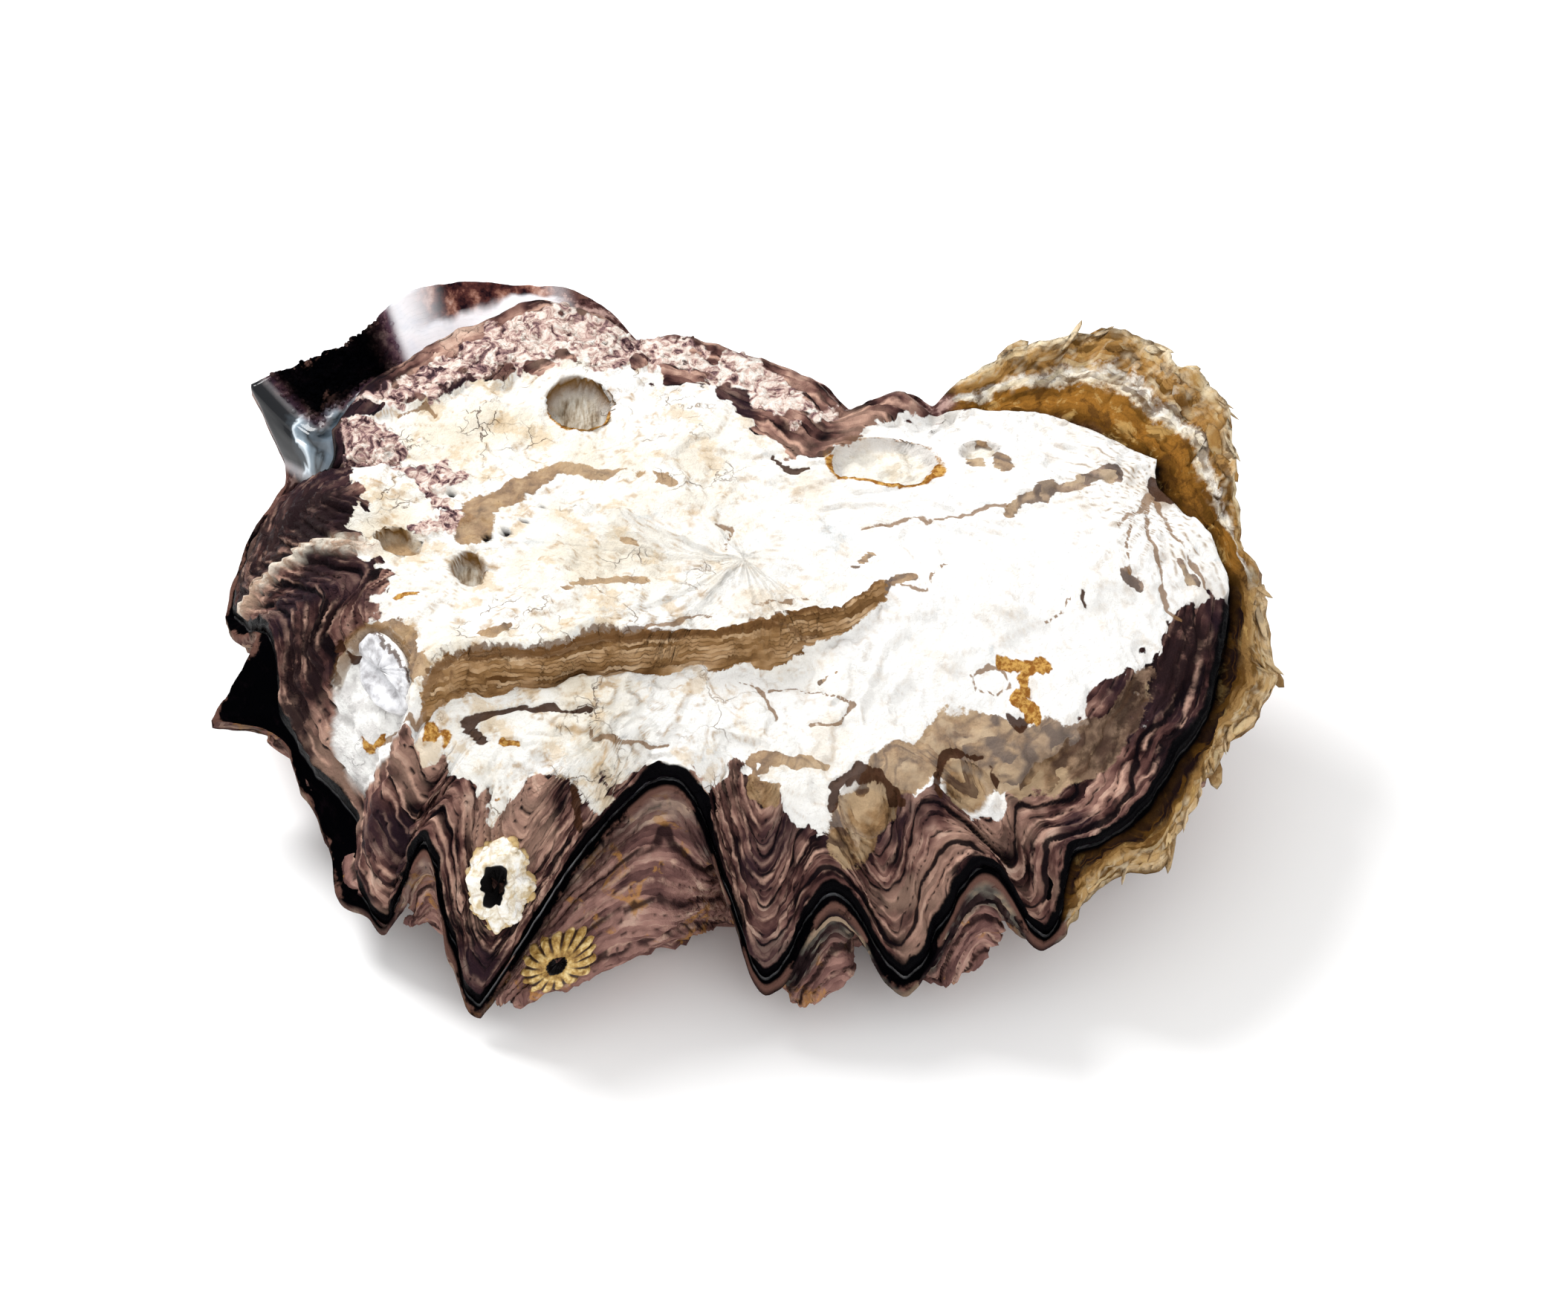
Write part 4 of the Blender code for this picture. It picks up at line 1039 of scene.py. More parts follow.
# %% Cracks
cracks, g, given, gives = new_group(
    "cracks", [("Place", None), ("Size", 3.0), ("Width", 0.05), ("Amount", 0.5)], ["Mask"],
)
swirl = g.node("ShaderNodeTexNoise", Vector=given["Place"], Scale=0.55, Detail=3.0).outputs["Color"]
bent = g.vector("MULTIPLY_ADD", swirl, (3.4, 3.4, 3.4), given["Place"])
cells = g.node("ShaderNodeTexVoronoi", {"feature": "DISTANCE_TO_EDGE"}, Vector=bent)
g.feed(cells.inputs["Scale"], 1.0 / given["Size"])
thin = g.between(cells.outputs["Distance"], given["Width"], 0.0)
patchy = g.between(g.noise(given["Place"], 0.16, 4.0, 0.6), 1.0 - given["Amount"], 1.15 - given["Amount"])
g.feed(gives["Mask"], thin * patchy)

# %% Grit
grit, g, given, gives = new_group("grit", [("Place", None), ("Size", 0.5), ("Cover", 0.3)], ["Mask", "Height"])
speck = g.noise(given["Place"], 1.0 / given["Size"], 4.0, 0.7)
threshold = 0.8 - given["Cover"] * 0.5
g.feed(gives["Mask"], g.between(speck, threshold, threshold + 0.12))
g.feed(gives["Height"], speck)
print("shared effects:", growth_lines.name, cracks.name, grit.name)


# %% Materials: the start of each
def new_material(name, roughness, **constants):
    material = bpy.data.materials.new(name)
    material.use_nodes = True
    graph = Graph(material.node_tree)
    shader = material.node_tree.nodes["Principled BSDF"]
    graph.feed(shader.inputs["Roughness"], roughness)
    for key, value in constants.items():
        graph.feed(shader.inputs[key.replace("_", " ")], value)
    return material, graph, shader


def lines_of(graph, where, growth, spacing, wander):
    return graph.group(growth_lines, Place=where, Growth=growth, Spacing=spacing, Wander=wander)


def add_bump(graph, shader, height, distance, strength=1.0):
    bump = graph.node("ShaderNodeBump", Strength=strength, Distance=distance * MM)
    graph.feed(bump.inputs["Height"], height)
    graph.tree.links.new(bump.outputs["Normal"], shader.inputs["Normal"])


# %% [markdown]
# ## The finish of the upper valve
# White chalk is the ground. Silt tints it cream, thin dark cracks run through it, and the broken edges of its layers
# are tan. The lamellae are mauve-brown, near black in the creases as painted shade, and pinkish tan where an edge has
# worn.
# The wall of the ledge shows the layers of an older shell, so its lines follow height and not growth.

# %% Upper valve: chalk and what marks it
shell_top, g, shader = new_material("upper_shell", 0.62, Specular_IOR_Level=0.02)
where = g.millimetres()
place = g.axes(where)
mottle, small_mottle = g.noise(where, 0.1, 6.0, 0.62), g.noise(where, 0.5, 5.0, 0.62)
tiny = g.noise(where, 1.9, 4.0, 0.65)
silted = g.between(place["X"], 22.0, -18.0, 0.1, 1.0)  # partly silt, partly painted light: cream and marked to the left, brighter and plainer to the right
chalk = g.ramp(
    mottle, (0.34, (0.86, 0.85, 0.83)), (0.48, (0.83, 0.81, 0.76)), (0.6, (0.76, 0.7, 0.59)),
    (0.74, (0.64, 0.56, 0.44)),
)
tan_patch = g.between(g.noise(where, 0.21, 5.0, 0.66), 0.54, 0.62) * g.between(silted, 0.1, 1.0, 0.15, 0.6)
blue_patch = g.between(g.noise(where, 0.27, 4.0, 0.6), 0.63, 0.7) * 0.45
edge_tan = g.paint("layer_edge") * g.between(small_mottle, 0.44, 0.58, 0.05, 0.85)
long_crack = g.group(cracks, Place=where, Size=8.0, Width=0.012, Amount=0.52)["Mask"]
crack = g.larger(long_crack, g.group(cracks, Place=where, Size=2.6, Width=0.03, Amount=0.44)["Mask"])
crack = crack * g.between(silted, 0.15, 1.0, 0.06, 0.85)
specks = g.group(grit, Place=where, Size=1.1, Cover=0.18)["Mask"]
chalk = g.layers(
    g.mix(silted, (0.91, 0.9, 0.88), chalk),
    (tan_patch, (0.66, 0.5, 0.31)),
    (blue_patch, (0.56, 0.6, 0.62)),
    (edge_tan * g.between(silted, 0.1, 1.0, 0.35, 1.0), (0.46, 0.3, 0.15)),
    (crack, g.mix(g.between(mottle, 0.45, 0.6), (0.33, 0.19, 0.085), (0.1, 0.045, 0.03))),
    (specks * g.between(silted, 0.1, 1.0, 0.3, 0.8), (0.2, 0.12, 0.08)),
    (g.paint("fan") * g.between(small_mottle, 0.32, 0.48, 0.45, 0.95), (0.3, 0.19, 0.09)),
)
print("nodes so far:", len(shell_top.node_tree.nodes))

# %% Upper valve: lamellae and crust
growth_p, worn_p, crust_p = g.paint("growth"), g.paint("worn"), g.paint("crust")
fine, wide = lines_of(g, where, growth_p, 0.55, 0.3), lines_of(g, where, growth_p, 1.9, 0.55)
sheet_tone = wide["Tone"] + fine["Tone"] * 0.5 - 0.272
sheet_tone = sheet_tone - g.between(place["X"], 36.0, 46.0, 0.0, 0.055)  # darker at both ends of the shell
sheet_tone = sheet_tone - g.between(place["X"], -38.0, -42.0, 0.0, 0.045)
season = g.noise(where, 0.085, 3.0, 0.55)
lamella = g.layers(
    g.ramp(
        sheet_tone, (0.32, (0.006, 0.003, 0.004)), (0.42, (0.034, 0.014, 0.014)), (0.5, (0.12, 0.055, 0.047)),
        (0.57, (0.27, 0.145, 0.115)), (0.64, (0.5, 0.31, 0.24)), (0.74, (0.68, 0.48, 0.38)),
    ),
    (wide["Line"] * g.between(mottle, 0.38, 0.52, 0.2, 0.9), (0.62, 0.38, 0.29)),
    (fine["Line"] * g.between(mottle, 0.5, 0.62, 0.05, 0.4), (0.4, 0.23, 0.18)),
    (g.between(season, 0.5, 0.62, 0.0, 0.72), (0.024, 0.012, 0.018)),
    (g.between(season, 0.47, 0.36, 0.0, 0.45), (0.56, 0.35, 0.26)),
    # Painted shade: near black in the crease under each lamella's drop.
    (g.between(g.paint("crease"), 0.2, 0.8, 0.0, 0.96), (0.006, 0.004, 0.006)),
    (g.paint("shade") * g.between(small_mottle, 0.62, 0.48, 0.35, 0.95), (0.018, 0.009, 0.01)),
)
crust_swirl = g.noise(where, 0.55, 5.0, 0.62, 1.6) - g.between(place["X"], -22.0, -29.0, 0.0, 0.055)
crust_tone = g.ramp(
    crust_swirl, (0.33, (0.05, 0.026, 0.032)), (0.4, (0.26, 0.15, 0.15)), (0.46, (0.56, 0.38, 0.33)),
    (0.53, (0.8, 0.67, 0.59)), (0.64, (0.9, 0.86, 0.8)),
)
print("nodes so far:", len(shell_top.node_tree.nodes))

# %% Upper valve: stains, the ledge and the scars
# Silt stains are tan on the chalk. On the right they lie in dark and pale bands that follow the growth.
bands = lines_of(g, where, growth_p, 2.6, 1.1)["Tone"]
on_the_right = g.between(place["X"], 2.0, 10.0)
dark_silt = g.mix(g.between(small_mottle, 0.4, 0.6), (0.035, 0.02, 0.02), (0.24, 0.155, 0.115))
stain_tone = g.layers(
    g.ramp(small_mottle, (0.32, (0.12, 0.062, 0.028)), (0.48, (0.29, 0.17, 0.08)), (0.64, (0.44, 0.29, 0.155))),
    (g.between(mottle, 0.44, 0.58, 0.0, 0.45), (0.56, 0.4, 0.24)),
    (g.between(place["X"], 25.0, 37.0, 0.0, 0.8), dark_silt),
    (wide["Line"] * g.between(place["X"], 2.0, 8.0, 0.0, 0.7), (0.1, 0.052, 0.028)),
    (g.between(bands, 0.52, 0.6, 0.0, 0.75) * on_the_right, (0.5, 0.36, 0.22)),
    (g.between(bands, 0.48, 0.4, 0.0, 0.8) * on_the_right, (0.075, 0.042, 0.03)),
)
strata_lines = lines_of(g, where, place["Z"], 0.42, 0.035)
wall_tone = g.mix(
    strata_lines["Line"] * 0.7,
    g.ramp(
        strata_lines["Tone"], (0.34, (0.12, 0.055, 0.018)), (0.46, (0.29, 0.16, 0.065)),
        (0.56, (0.46, 0.285, 0.145)), (0.7, (0.68, 0.49, 0.31)),
    ),
    (0.08, 0.035, 0.01),
)
# The floor of a scar is ribbed across, because a limpet or barnacle once sat there.
ribs = g.noise(g.vector("MULTIPLY", where, (1.6, 0.35, 0.35)), 0.9, 3.0, 0.6)
floor_tone = g.layers(
    g.ramp(ribs, (0.36, (0.22, 0.16, 0.1)), (0.5, (0.46, 0.39, 0.3)), (0.64, (0.64, 0.6, 0.52))),
    (g.paint("silted"), stain_tone),
    (g.paint("pale_floor"), g.mix(g.between(small_mottle, 0.45, 0.62), (0.86, 0.82, 0.74), (0.7, 0.62, 0.5))),
)
scar_tone = g.mix(g.between(small_mottle, 0.4, 0.58), (0.7, 0.68, 0.66), (0.94, 0.93, 0.9))
ridge_tone = g.mix(g.between(small_mottle, 0.4, 0.58), (0.84, 0.76, 0.64), (0.52, 0.36, 0.26))
rust_tone = g.mix(g.between(tiny, 0.38, 0.6), (0.6, 0.34, 0.09), (0.27, 0.105, 0.02))
print("nodes so far:", len(shell_top.node_tree.nodes))

# %% Upper valve: all coats together
ragged_worn = worn_p + ((small_mottle - 0.5) * 1.3 + (fine["Tone"] - 0.5) * 1.2)
margin = g.between(growth_p + (small_mottle * 0.8 + mottle * 2.4), 2.45, 2.05)
margin = margin * (1.0 - g.paint("pale_edge")) * g.between(place["Y"], 14.0, 20.0, 1.0, 0.25)
colour = g.layers(
    lamella,
    (g.between(ragged_worn, 0.4, 0.56), chalk),
    (g.ragged("crust", small_mottle, 1.4, 0.34, 0.56), crust_tone),
    (g.ragged("stains", tiny, 0.9, 0.36, 0.54, 0.92), stain_tone),
    (g.ragged("wall", tiny, 0.9, 0.38, 0.54), wall_tone),
    # Painted shade: dark brown on the top of the ledge's wall, just under its brink.
    (g.ragged("brink", tiny, 1.0, 0.55, 0.85, 0.8), (0.13, 0.06, 0.022)),
    (g.paint("pit_floor"), floor_tone),
    # Pit walls in dark brown, with painted shade on the far side of the pearl scar and the back of the silted scars.
    (g.paint("pit_wall") * g.between(small_mottle, 0.28, 0.42, 0.55, 1.0), (0.17, 0.085, 0.022)),
    (g.paint("pearl_scar") * g.between(g.paint("pit_wall"), 0.35, 0.6, 1.0, 0.15), scar_tone),
    (g.paint("ridge") * 0.9, ridge_tone),
    (g.ragged("hair", tiny, 0.45, 0.66, 0.8, 0.85), (0.25, 0.14, 0.065)),
    (g.ragged("seam", tiny, 0.6, 0.35, 0.6, 0.95), (0.06, 0.024, 0.012)),
    (g.ragged("rust", tiny, 0.7, 0.34, 0.62), rust_tone),
    # Painted shade: the bored holes are near black inside.
    (g.paint("holes"), (0.006, 0.004, 0.004)),
    (margin, (0.001, 0.0008, 0.0014)),
)
g.feed(shader.inputs["Base Color"], colour)
g.feed(shader.inputs["Roughness"], g.between(worn_p, 0.0, 1.0, 0.46, 0.8) - margin * 0.16)
grain = g.group(grit, Place=where, Size=0.35, Cover=0.3)["Height"]
height = fine["Height"] * (1.1 - worn_p) + grain * 0.8 - crack * 1.1
height = height + g.noise(where, 1.3, 5.0, 0.66) * 1.5 + crust_swirl * (crust_p * 2.5)
add_bump(g, shader, height, 0.26, 0.9)
upper_valve.data.materials.append(shell_top)
print(shell_top.name, len(shell_top.node_tree.nodes), "nodes")

# %% [markdown]
# ## The finish of the lower valve
# Outside, the cup is pinkish brown with growth lines and orange streaks. Its lip is the inside of the shell: near
# black and glossy along the margin, blue-white nacre at the back left that passes through purple into a granular
# black rim, and golden brown in the ligament hollow, where it peels in pale flakes.

# %% Lower valve: the outside
shell_cup, g, shader = new_material("lower_shell", 0.5, Coat_Roughness=0.12, Specular_IOR_Level=0.0)
where = g.millimetres()
place = g.axes(where)
growth_p, inside_p, out_p = g.paint("growth"), g.paint("inside"), g.paint("out")
gold_p, flake_p, nacre_p, granular_p = [g.paint(name) for name in ("gold", "flake", "nacre", "granular")]
mottle, small_mottle = g.noise(where, 0.13, 6.0, 0.62), g.noise(where, 0.55, 5.0, 0.62)
fine, wide = lines_of(g, where, growth_p, 0.6, 0.4), lines_of(g, where, growth_p, 2.2, 0.6)
tone = wide["Tone"] * 0.5 + fine["Tone"] * 0.5
streak = g.between(g.noise(where, 0.3, 4.0, 0.6, 0.8), 0.57, 0.66)
# Painted shade: a near-black band on the cup's wall just under its rim, stronger on the right, with pale streaks in
# it.
shade_under_lip = g.between(growth_p + mottle * 4.0, 5.6, 3.6) * g.between(place["X"], -4.0, 4.0, 0.55, 0.95)
shade_under_lip_tone = g.ramp(
    fine["Tone"], (0.4, (0.002, 0.002, 0.003)), (0.5, (0.02, 0.012, 0.014)), (0.57, (0.1, 0.095, 0.08)),
    (0.66, (0.3, 0.22, 0.15)),
)
golden_wall = g.ramp(
    tone, (0.38, (0.1, 0.045, 0.018)), (0.47, (0.27, 0.15, 0.055)), (0.56, (0.44, 0.28, 0.12)),
    (0.66, (0.64, 0.47, 0.27)),
)
skin = g.layers(
    g.ramp(
        tone, (0.36, (0.055, 0.026, 0.026)), (0.46, (0.17, 0.085, 0.075)), (0.56, (0.36, 0.2, 0.165)),
        (0.68, (0.62, 0.43, 0.34)),
    ),
    (wide["Line"] * g.between(small_mottle, 0.4, 0.56, 0.0, 0.65), (0.6, 0.4, 0.3)),
    (streak * 0.7, (0.46, 0.22, 0.06)),
    # Painted shade: near black in the creases under the growth sheets of the cup's wall.
    (g.between(g.paint("crease"), 0.25, 0.85, 0.0, 0.88), (0.018, 0.009, 0.01)),
    (shade_under_lip, shade_under_lip_tone),
    (g.ragged("gold", small_mottle, 1.1, 0.36, 0.6, 0.9), golden_wall),
)
print("nodes so far:", len(shell_cup.node_tree.nodes))

# %% Lower valve: the golden hollow and its flakes
spread = out_p + (mottle - 0.5) * 0.35 + (small_mottle - 0.5) * 0.3
# Painted shade: both ramps go near black at the lip's inner edge, in the gap under the upper valve.
hollow = g.ramp(
    spread, (0.02, (0.03, 0.012, 0.004)), (0.14, (0.13, 0.055, 0.009)), (0.34, (0.33, 0.145, 0.026)),
    (0.56, (0.26, 0.115, 0.02)), (0.61, (0.8, 0.7, 0.54)), (0.69, (0.9, 0.86, 0.78)), (0.75, (0.34, 0.17, 0.045)),
    (0.9, (0.44, 0.25, 0.085)), (1.0, (0.8, 0.68, 0.48)),
)
flaky = g.ramp(
    spread, (0.04, (0.012, 0.006, 0.005)), (0.14, (0.14, 0.07, 0.022)), (0.4, (0.3, 0.165, 0.055)),
    (0.64, (0.42, 0.255, 0.1)), (0.84, (0.52, 0.34, 0.16)), (1.0, (0.7, 0.52, 0.31)),
)
outer = g.between(out_p, 0.5, 0.66)
patch = g.noise(where, 0.34, 5.0, 0.68, 0.5)
gold_tone = g.layers(
    hollow,
    (flake_p, flaky),
    (g.between(patch, 0.5, 0.62, 0.0, 0.75), (0.085, 0.036, 0.01)),
    (g.between(patch, 0.44, 0.34, 0.0, 0.65), (0.56, 0.36, 0.13)),
    # Painted shade: near black on the inner part of the flake lip, in the gap under the upper valve.
    (flake_p * g.between(out_p + mottle * 0.5, 0.62, 0.42), (0.012, 0.006, 0.006)),
    (g.between(fine["Tone"], 0.55, 0.64) * (outer * 0.45), (0.74, 0.6, 0.36)),
    (g.between(fine["Tone"], 0.46, 0.38, 0.0, 0.75), (0.1, 0.045, 0.008)),
    (fine["Line"] * 0.35, (0.16, 0.07, 0.012)),
    (g.paint("layer_edge") * (outer * 0.5), (0.84, 0.72, 0.52)),
)
print("nodes so far:", len(shell_cup.node_tree.nodes))

# %% Lower valve: the black and pearly lining
black = g.mix(g.between(small_mottle, 0.5, 0.75, 0.0, 0.5), (0.0008, 0.0008, 0.0012), (0.007, 0.0035, 0.005))
worn_lip = g.between(mottle - g.between(growth_p, 0.2, 1.4, 0.0, 0.1), 0.47, 0.53, 0.0, 0.85)
black = g.mix(worn_lip * g.between(out_p, 0.35, 0.75), black, (0.16, 0.08, 0.062))
crusted = g.between(place["Y"], 16.0, 23.0) * g.between(small_mottle, 0.38, 0.52, 0.15, 0.95)
crusted_tone = g.mix(g.between(small_mottle, 0.5, 0.64), (0.1, 0.045, 0.042), (0.48, 0.31, 0.27))
folds = g.noise(where, 0.22, 3.0, 0.5, 0.6)
violet = g.between(granular_p + (mottle - 0.5) * 0.3, 0.02, 0.4)
# Painted highlight: the steely nacre is blue-black, with one bright blue-white streak along the margin.
steel = g.ramp(
    out_p * 1.1 + (folds - 0.5) * 0.8, (0.1, (0.1, 0.13, 0.16)), (0.24, (0.01, 0.014, 0.018)),
    (0.4, (0.22, 0.28, 0.33)), (0.48, (0.66, 0.74, 0.8)), (0.54, (0.04, 0.05, 0.06)), (0.68, (0.004, 0.005, 0.007)),
)
pearl = g.layers(
    g.ramp(
        folds, (0.3, (0.84, 0.86, 0.92)), (0.46, (0.96, 0.95, 0.98)), (0.6, (0.97, 0.94, 0.97)),
        (0.75, (0.88, 0.88, 0.94)),
    ),
    (violet, (0.15, 0.06, 0.12)),
    (g.paint("steel"), steel),
)
old_rim = g.ramp(
    small_mottle, (0.38, (0.012, 0.005, 0.008)), (0.5, (0.09, 0.03, 0.026)), (0.6, (0.3, 0.14, 0.1)),
    (0.7, (0.55, 0.36, 0.3)),
)
lip_tone = g.layers(
    black,
    (crusted, crusted_tone),
    (nacre_p, pearl),
    (granular_p, black),
    (g.paint("rim_dark"), old_rim),
    (g.larger(gold_p, flake_p), gold_tone),
)
g.feed(shader.inputs["Base Color"], g.mix(inside_p, skin, lip_tone))
print("nodes so far:", len(shell_cup.node_tree.nodes))

# %% Lower valve: gloss and grain
pearly = inside_p * (nacre_p * (1.0 - granular_p))
g.feed(shader.inputs["Coat Weight"], pearly * (0.6 - g.paint("rim_dark") * 0.6))
dark_lip = inside_p * (1.0 - g.larger(gold_p, flake_p))
g.feed(shader.inputs["Roughness"], g.between(dark_lip, 0.0, 1.0, 0.56, 0.32))
grain = g.group(grit, Place=where, Size=0.4, Cover=0.3)["Height"]
height = fine["Height"] * 0.9 + (grain + g.noise(where, 1.2, 5.0, 0.66) * 1.5)
add_bump(g, shader, height * (1.0 - pearly * 0.9), 0.28, 0.9)
lower_valve.data.materials.append(shell_cup)
print(shell_cup.name, len(shell_cup.node_tree.nodes), "nodes")

# %% [markdown]
# ## What grew on the shell
# Two barnacles and the valve of a young oyster are cemented on. Each is a skin of rings round its own axis.
# Rays find the shell under every column, so the foot follows the pleats, as a living barnacle's does.

# %% Growths: a seat on the shell
def tree_under(piece):
    mesh = piece.data
    points = [v.co / MM for v in mesh.vertices]
    return BVHTree.FromPolygons(points, [tuple(p.vertices) for p in mesh.polygons])


upper_tree, lower_tree = tree_under(upper_valve), tree_under(lower_valve)
GROWTH_PAINTS = ["rise", "rib", "hollow"]
ABOVE, DEEPEST, BEDDED = 8.0, 9.5, 0.4  # where the rays start, how far they may reach, how deep the foot lies


def growth_on(name, tree, centre, axis, turn, size, profile, columns, ribs, rib_depth, lumps, rings=40):
    """A growth whose profile is (share of the base, height) from the foot to the middle of its opening."""
    axis = np.array(axis, float) / np.linalg.norm(axis)
    start = np.array(centre, float) + SHIFT + axis * ABOVE
    side = np.array([1.0, 0, 0]) - axis * axis[0]
    side /= np.linalg.norm(side)
    other = np.cross(axis, side)
    c, s = math.cos(math.radians(turn)), math.sin(math.radians(turn))
    side, other = side * c + other * s, other * c - side * s
    angle = np.arange(columns) / columns * 2 * math.pi
    rib = np.abs(np.cos(angle * ribs / 2))
    profile = np.array(profile)
    places = np.linspace(0, len(profile) - 1, rings)
    shares = np.interp(places, np.arange(len(profile)), profile[:, 0])
    heights = np.interp(places, np.arange(len(profile)), profile[:, 1])
    tallest = heights.max()
    opened = np.interp(places, np.arange(len(profile)), np.arange(len(profile)) > int(np.argmax(profile[:, 1])))

    def ground(u, v):
        origin = start + side * u + other * v
        hit = tree.ray_cast(Vector(origin), Vector(-axis))
        return min(ABOVE if hit[0] is None else hit[3], DEEPEST)

    skin = Skin(GROWTH_PAINTS)
    levels = [-ground(size[0] * math.cos(a), size[1] * math.sin(a)) for a in angle]
    seat = float(np.mean(levels))
    found = []
    for share, height, inner in zip(shares, heights, opened):
        swell = 1.0 + rib_depth * (rib - 0.5) * min(share * 1.6, 1.0)
        u, v = size[0] * share * np.cos(angle) * swell, size[1] * share * np.sin(angle) * swell
        low = 1.0 - float(smoothstep(0.0, 3.0, height))
        level = seat + (np.array(levels) - seat) * low + height
        if inner < 0.5:
            level = np.maximum(level, [-ground(a, b) for a, b in zip(u, v)] + np.float64(min(height, 0.3)))
        points = start + side * u[:, None] + other * v[:, None] + axis * level[:, None]
        bump = lumps * layered_noise(points, 1.7, 3, 91) * smoothstep(0.0, 0.5, share)
        points = points + (side * np.cos(angle)[:, None] + other * np.sin(angle)[:, None]) * bump[:, None]
        points = points + axis * (0.5 * bump[:, None]) - SHIFT
        values = np.column_stack([np.full(columns, height / tallest), rib, np.full(columns, inner)])
        ring_now = skin.add(points, values)
        if found:
            skin.band(found[-1], ring_now)
        found.append(ring_now)
    skin.close(found[-1], points.mean(axis=0), values.mean(axis=0))
    foot = skin.points[0].mean(axis=0) - axis * BEDDED
    skin.close(found[0], foot, skin.values[0].mean(axis=0), flip=True)
    return skin.object(name)


# %% Growths: the white barnacle
white_profile = (
    (1.0, -0.5), (1.0, 0.5), (0.95, 1.2), (0.86, 2.1), (0.74, 3.0), (0.6, 3.5), (0.5, 3.6), (0.43, 3.3), (0.38, 2.0),
    (0.3, 0.9), (0.08, 0.8),
)
white_barnacle = growth_on(
    "white_barnacle_dressed", upper_tree, (-24.0, -33.0, 17.0), (-0.1, -0.8, 0.6), -8, (2.9, 4.4), white_profile, 120,
    8, 0.07, 0.62,
)

# %% Growths: the gold barnacle
gold_profile = (
    (1.0, -0.5), (1.0, 0.3), (0.9, 0.9), (0.72, 1.5), (0.5, 1.9), (0.34, 2.0), (0.27, 1.8), (0.2, 1.0), (0.05, 0.9),
)
gold_barnacle = growth_on(
    "gold_barnacle_dressed", lower_tree, (-18.4, -36.0, 9.0), (0.0, -0.88, 0.47), 35, (3.9, 2.5), gold_profile, 168,
    16, 0.2, 0.24,
)

# %% Growths: the young oyster's valve
young_profile = ((1.0, -0.4), (1.0, 0.2), (0.96, 0.5), (0.84, 0.62), (0.6, 0.5), (0.3, 0.35), (0.05, 0.3))
young_valve = growth_on(
    "young_valve_dressed", upper_tree, (-35.8, -15.4, 28.5), (-0.45, -0.35, 0.82), -54, (4.6, 3.0), young_profile, 96,
    3, 0.03, 0.12, 20,
)

# %% Growths: the white barnacle's finish
white_wall, g, shader = new_material("white_barnacle", 0.75, Specular_IOR_Level=0.2)
where = g.millimetres()
blotch = g.noise(where, 0.9, 4.0, 0.6)
tone = g.ramp(blotch, (0.36, (0.6, 0.48, 0.3)), (0.5, (0.86, 0.8, 0.68)), (0.62, (0.95, 0.93, 0.88)))
tone = g.layers(
    tone,
    (g.between(g.paint("rise") + blotch * 0.5, 0.62, 0.3), (0.62, 0.44, 0.2)),
    # Painted shade: tan-brown in patches in the grooves between the plates.
    (g.between(g.paint("rib"), 0.26, 0.05) * g.between(blotch, 0.42, 0.56, 0.0, 0.5), (0.42, 0.27, 0.12)),
    # Painted shade: the opening is near black inside.
    (g.between(g.paint("hollow"), 0.3, 0.75), (0.004, 0.003, 0.003)),
)
g.feed(shader.inputs["Base Color"], tone)
add_bump(g, shader, g.noise(where, 2.4, 4.0, 0.65), 0.35, 1.0)
white_barnacle.data.materials.append(white_wall)
print(white_wall.name, len(white_wall.node_tree.nodes), "nodes")

# %% Growths: the gold barnacle's finish
gold_wall, g, shader = new_material("gold_barnacle", 0.5, Specular_IOR_Level=0.3)
where = g.millimetres()
blotch = g.noise(where, 1.1, 4.0, 0.6)
tone = g.ramp(blotch, (0.36, (0.2, 0.1, 0.02)), (0.5, (0.44, 0.27, 0.075)), (0.64, (0.74, 0.56, 0.26)))
between_ribs = g.between(g.paint("rib"), 0.62, 0.22) * g.between(g.paint("rise"), 1.0, 0.75, 0.15, 1.0)
tone = g.layers(
    tone,
    (between_ribs, (0.035, 0.014, 0.006)),
    # Painted shade: the slit of the opening is near black inside.
    (g.between(g.paint("hollow"), 0.3, 0.75), (0.006, 0.004, 0.004)),
)
g.feed(shader.inputs["Base Color"], tone)
add_bump(g, shader, blotch, 0.25, 1.0)
gold_barnacle.data.materials.append(gold_wall)
print(gold_wall.name, len(gold_wall.node_tree.nodes), "nodes")

# %% Growths: the young valve's finish
young_pearl, g, shader = new_material("young_pearl", 0.34, Coat_Roughness=0.08)
where = g.millimetres()
place = g.axes(where)
blotch = g.noise(where, 0.7, 4.0, 0.6)
to_the_right = place["Y"] * 0.55 + (place["X"] * 0.85 + blotch * 2.0)
tone = g.ramp(blotch, (0.34, (0.3, 0.29, 0.3)), (0.5, (0.6, 0.6, 0.62)), (0.64, (0.8, 0.8, 0.82)))
tone = g.layers(
    tone,
    (g.between(to_the_right, -36.4, -36.0), (0.96, 0.95, 0.92)),
    (g.between(abs(to_the_right - -36.2), 0.3, 0.1, 0.0, 0.9), (0.06, 0.025, 0.012)),
)
g.feed(shader.inputs["Base Color"], tone)
g.feed(shader.inputs["Coat Weight"], g.between(blotch, 0.3, 0.5, 0.3, 0.8))
young_valve.data.materials.append(young_pearl)
print(young_pearl.name, len(young_pearl.node_tree.nodes), "nodes")

# %% [markdown]
# ## Flakes, grains and knobs
# Small things repeat all over an oyster: curled flakes on the golden lip, black grains on the old rim, crumbs in the
# crust, knobs on the barnacle's foot. One node tree scatters them over a surface. The surface's own paint says
# where they grow, and they take its colour, because its paint values go along with them.

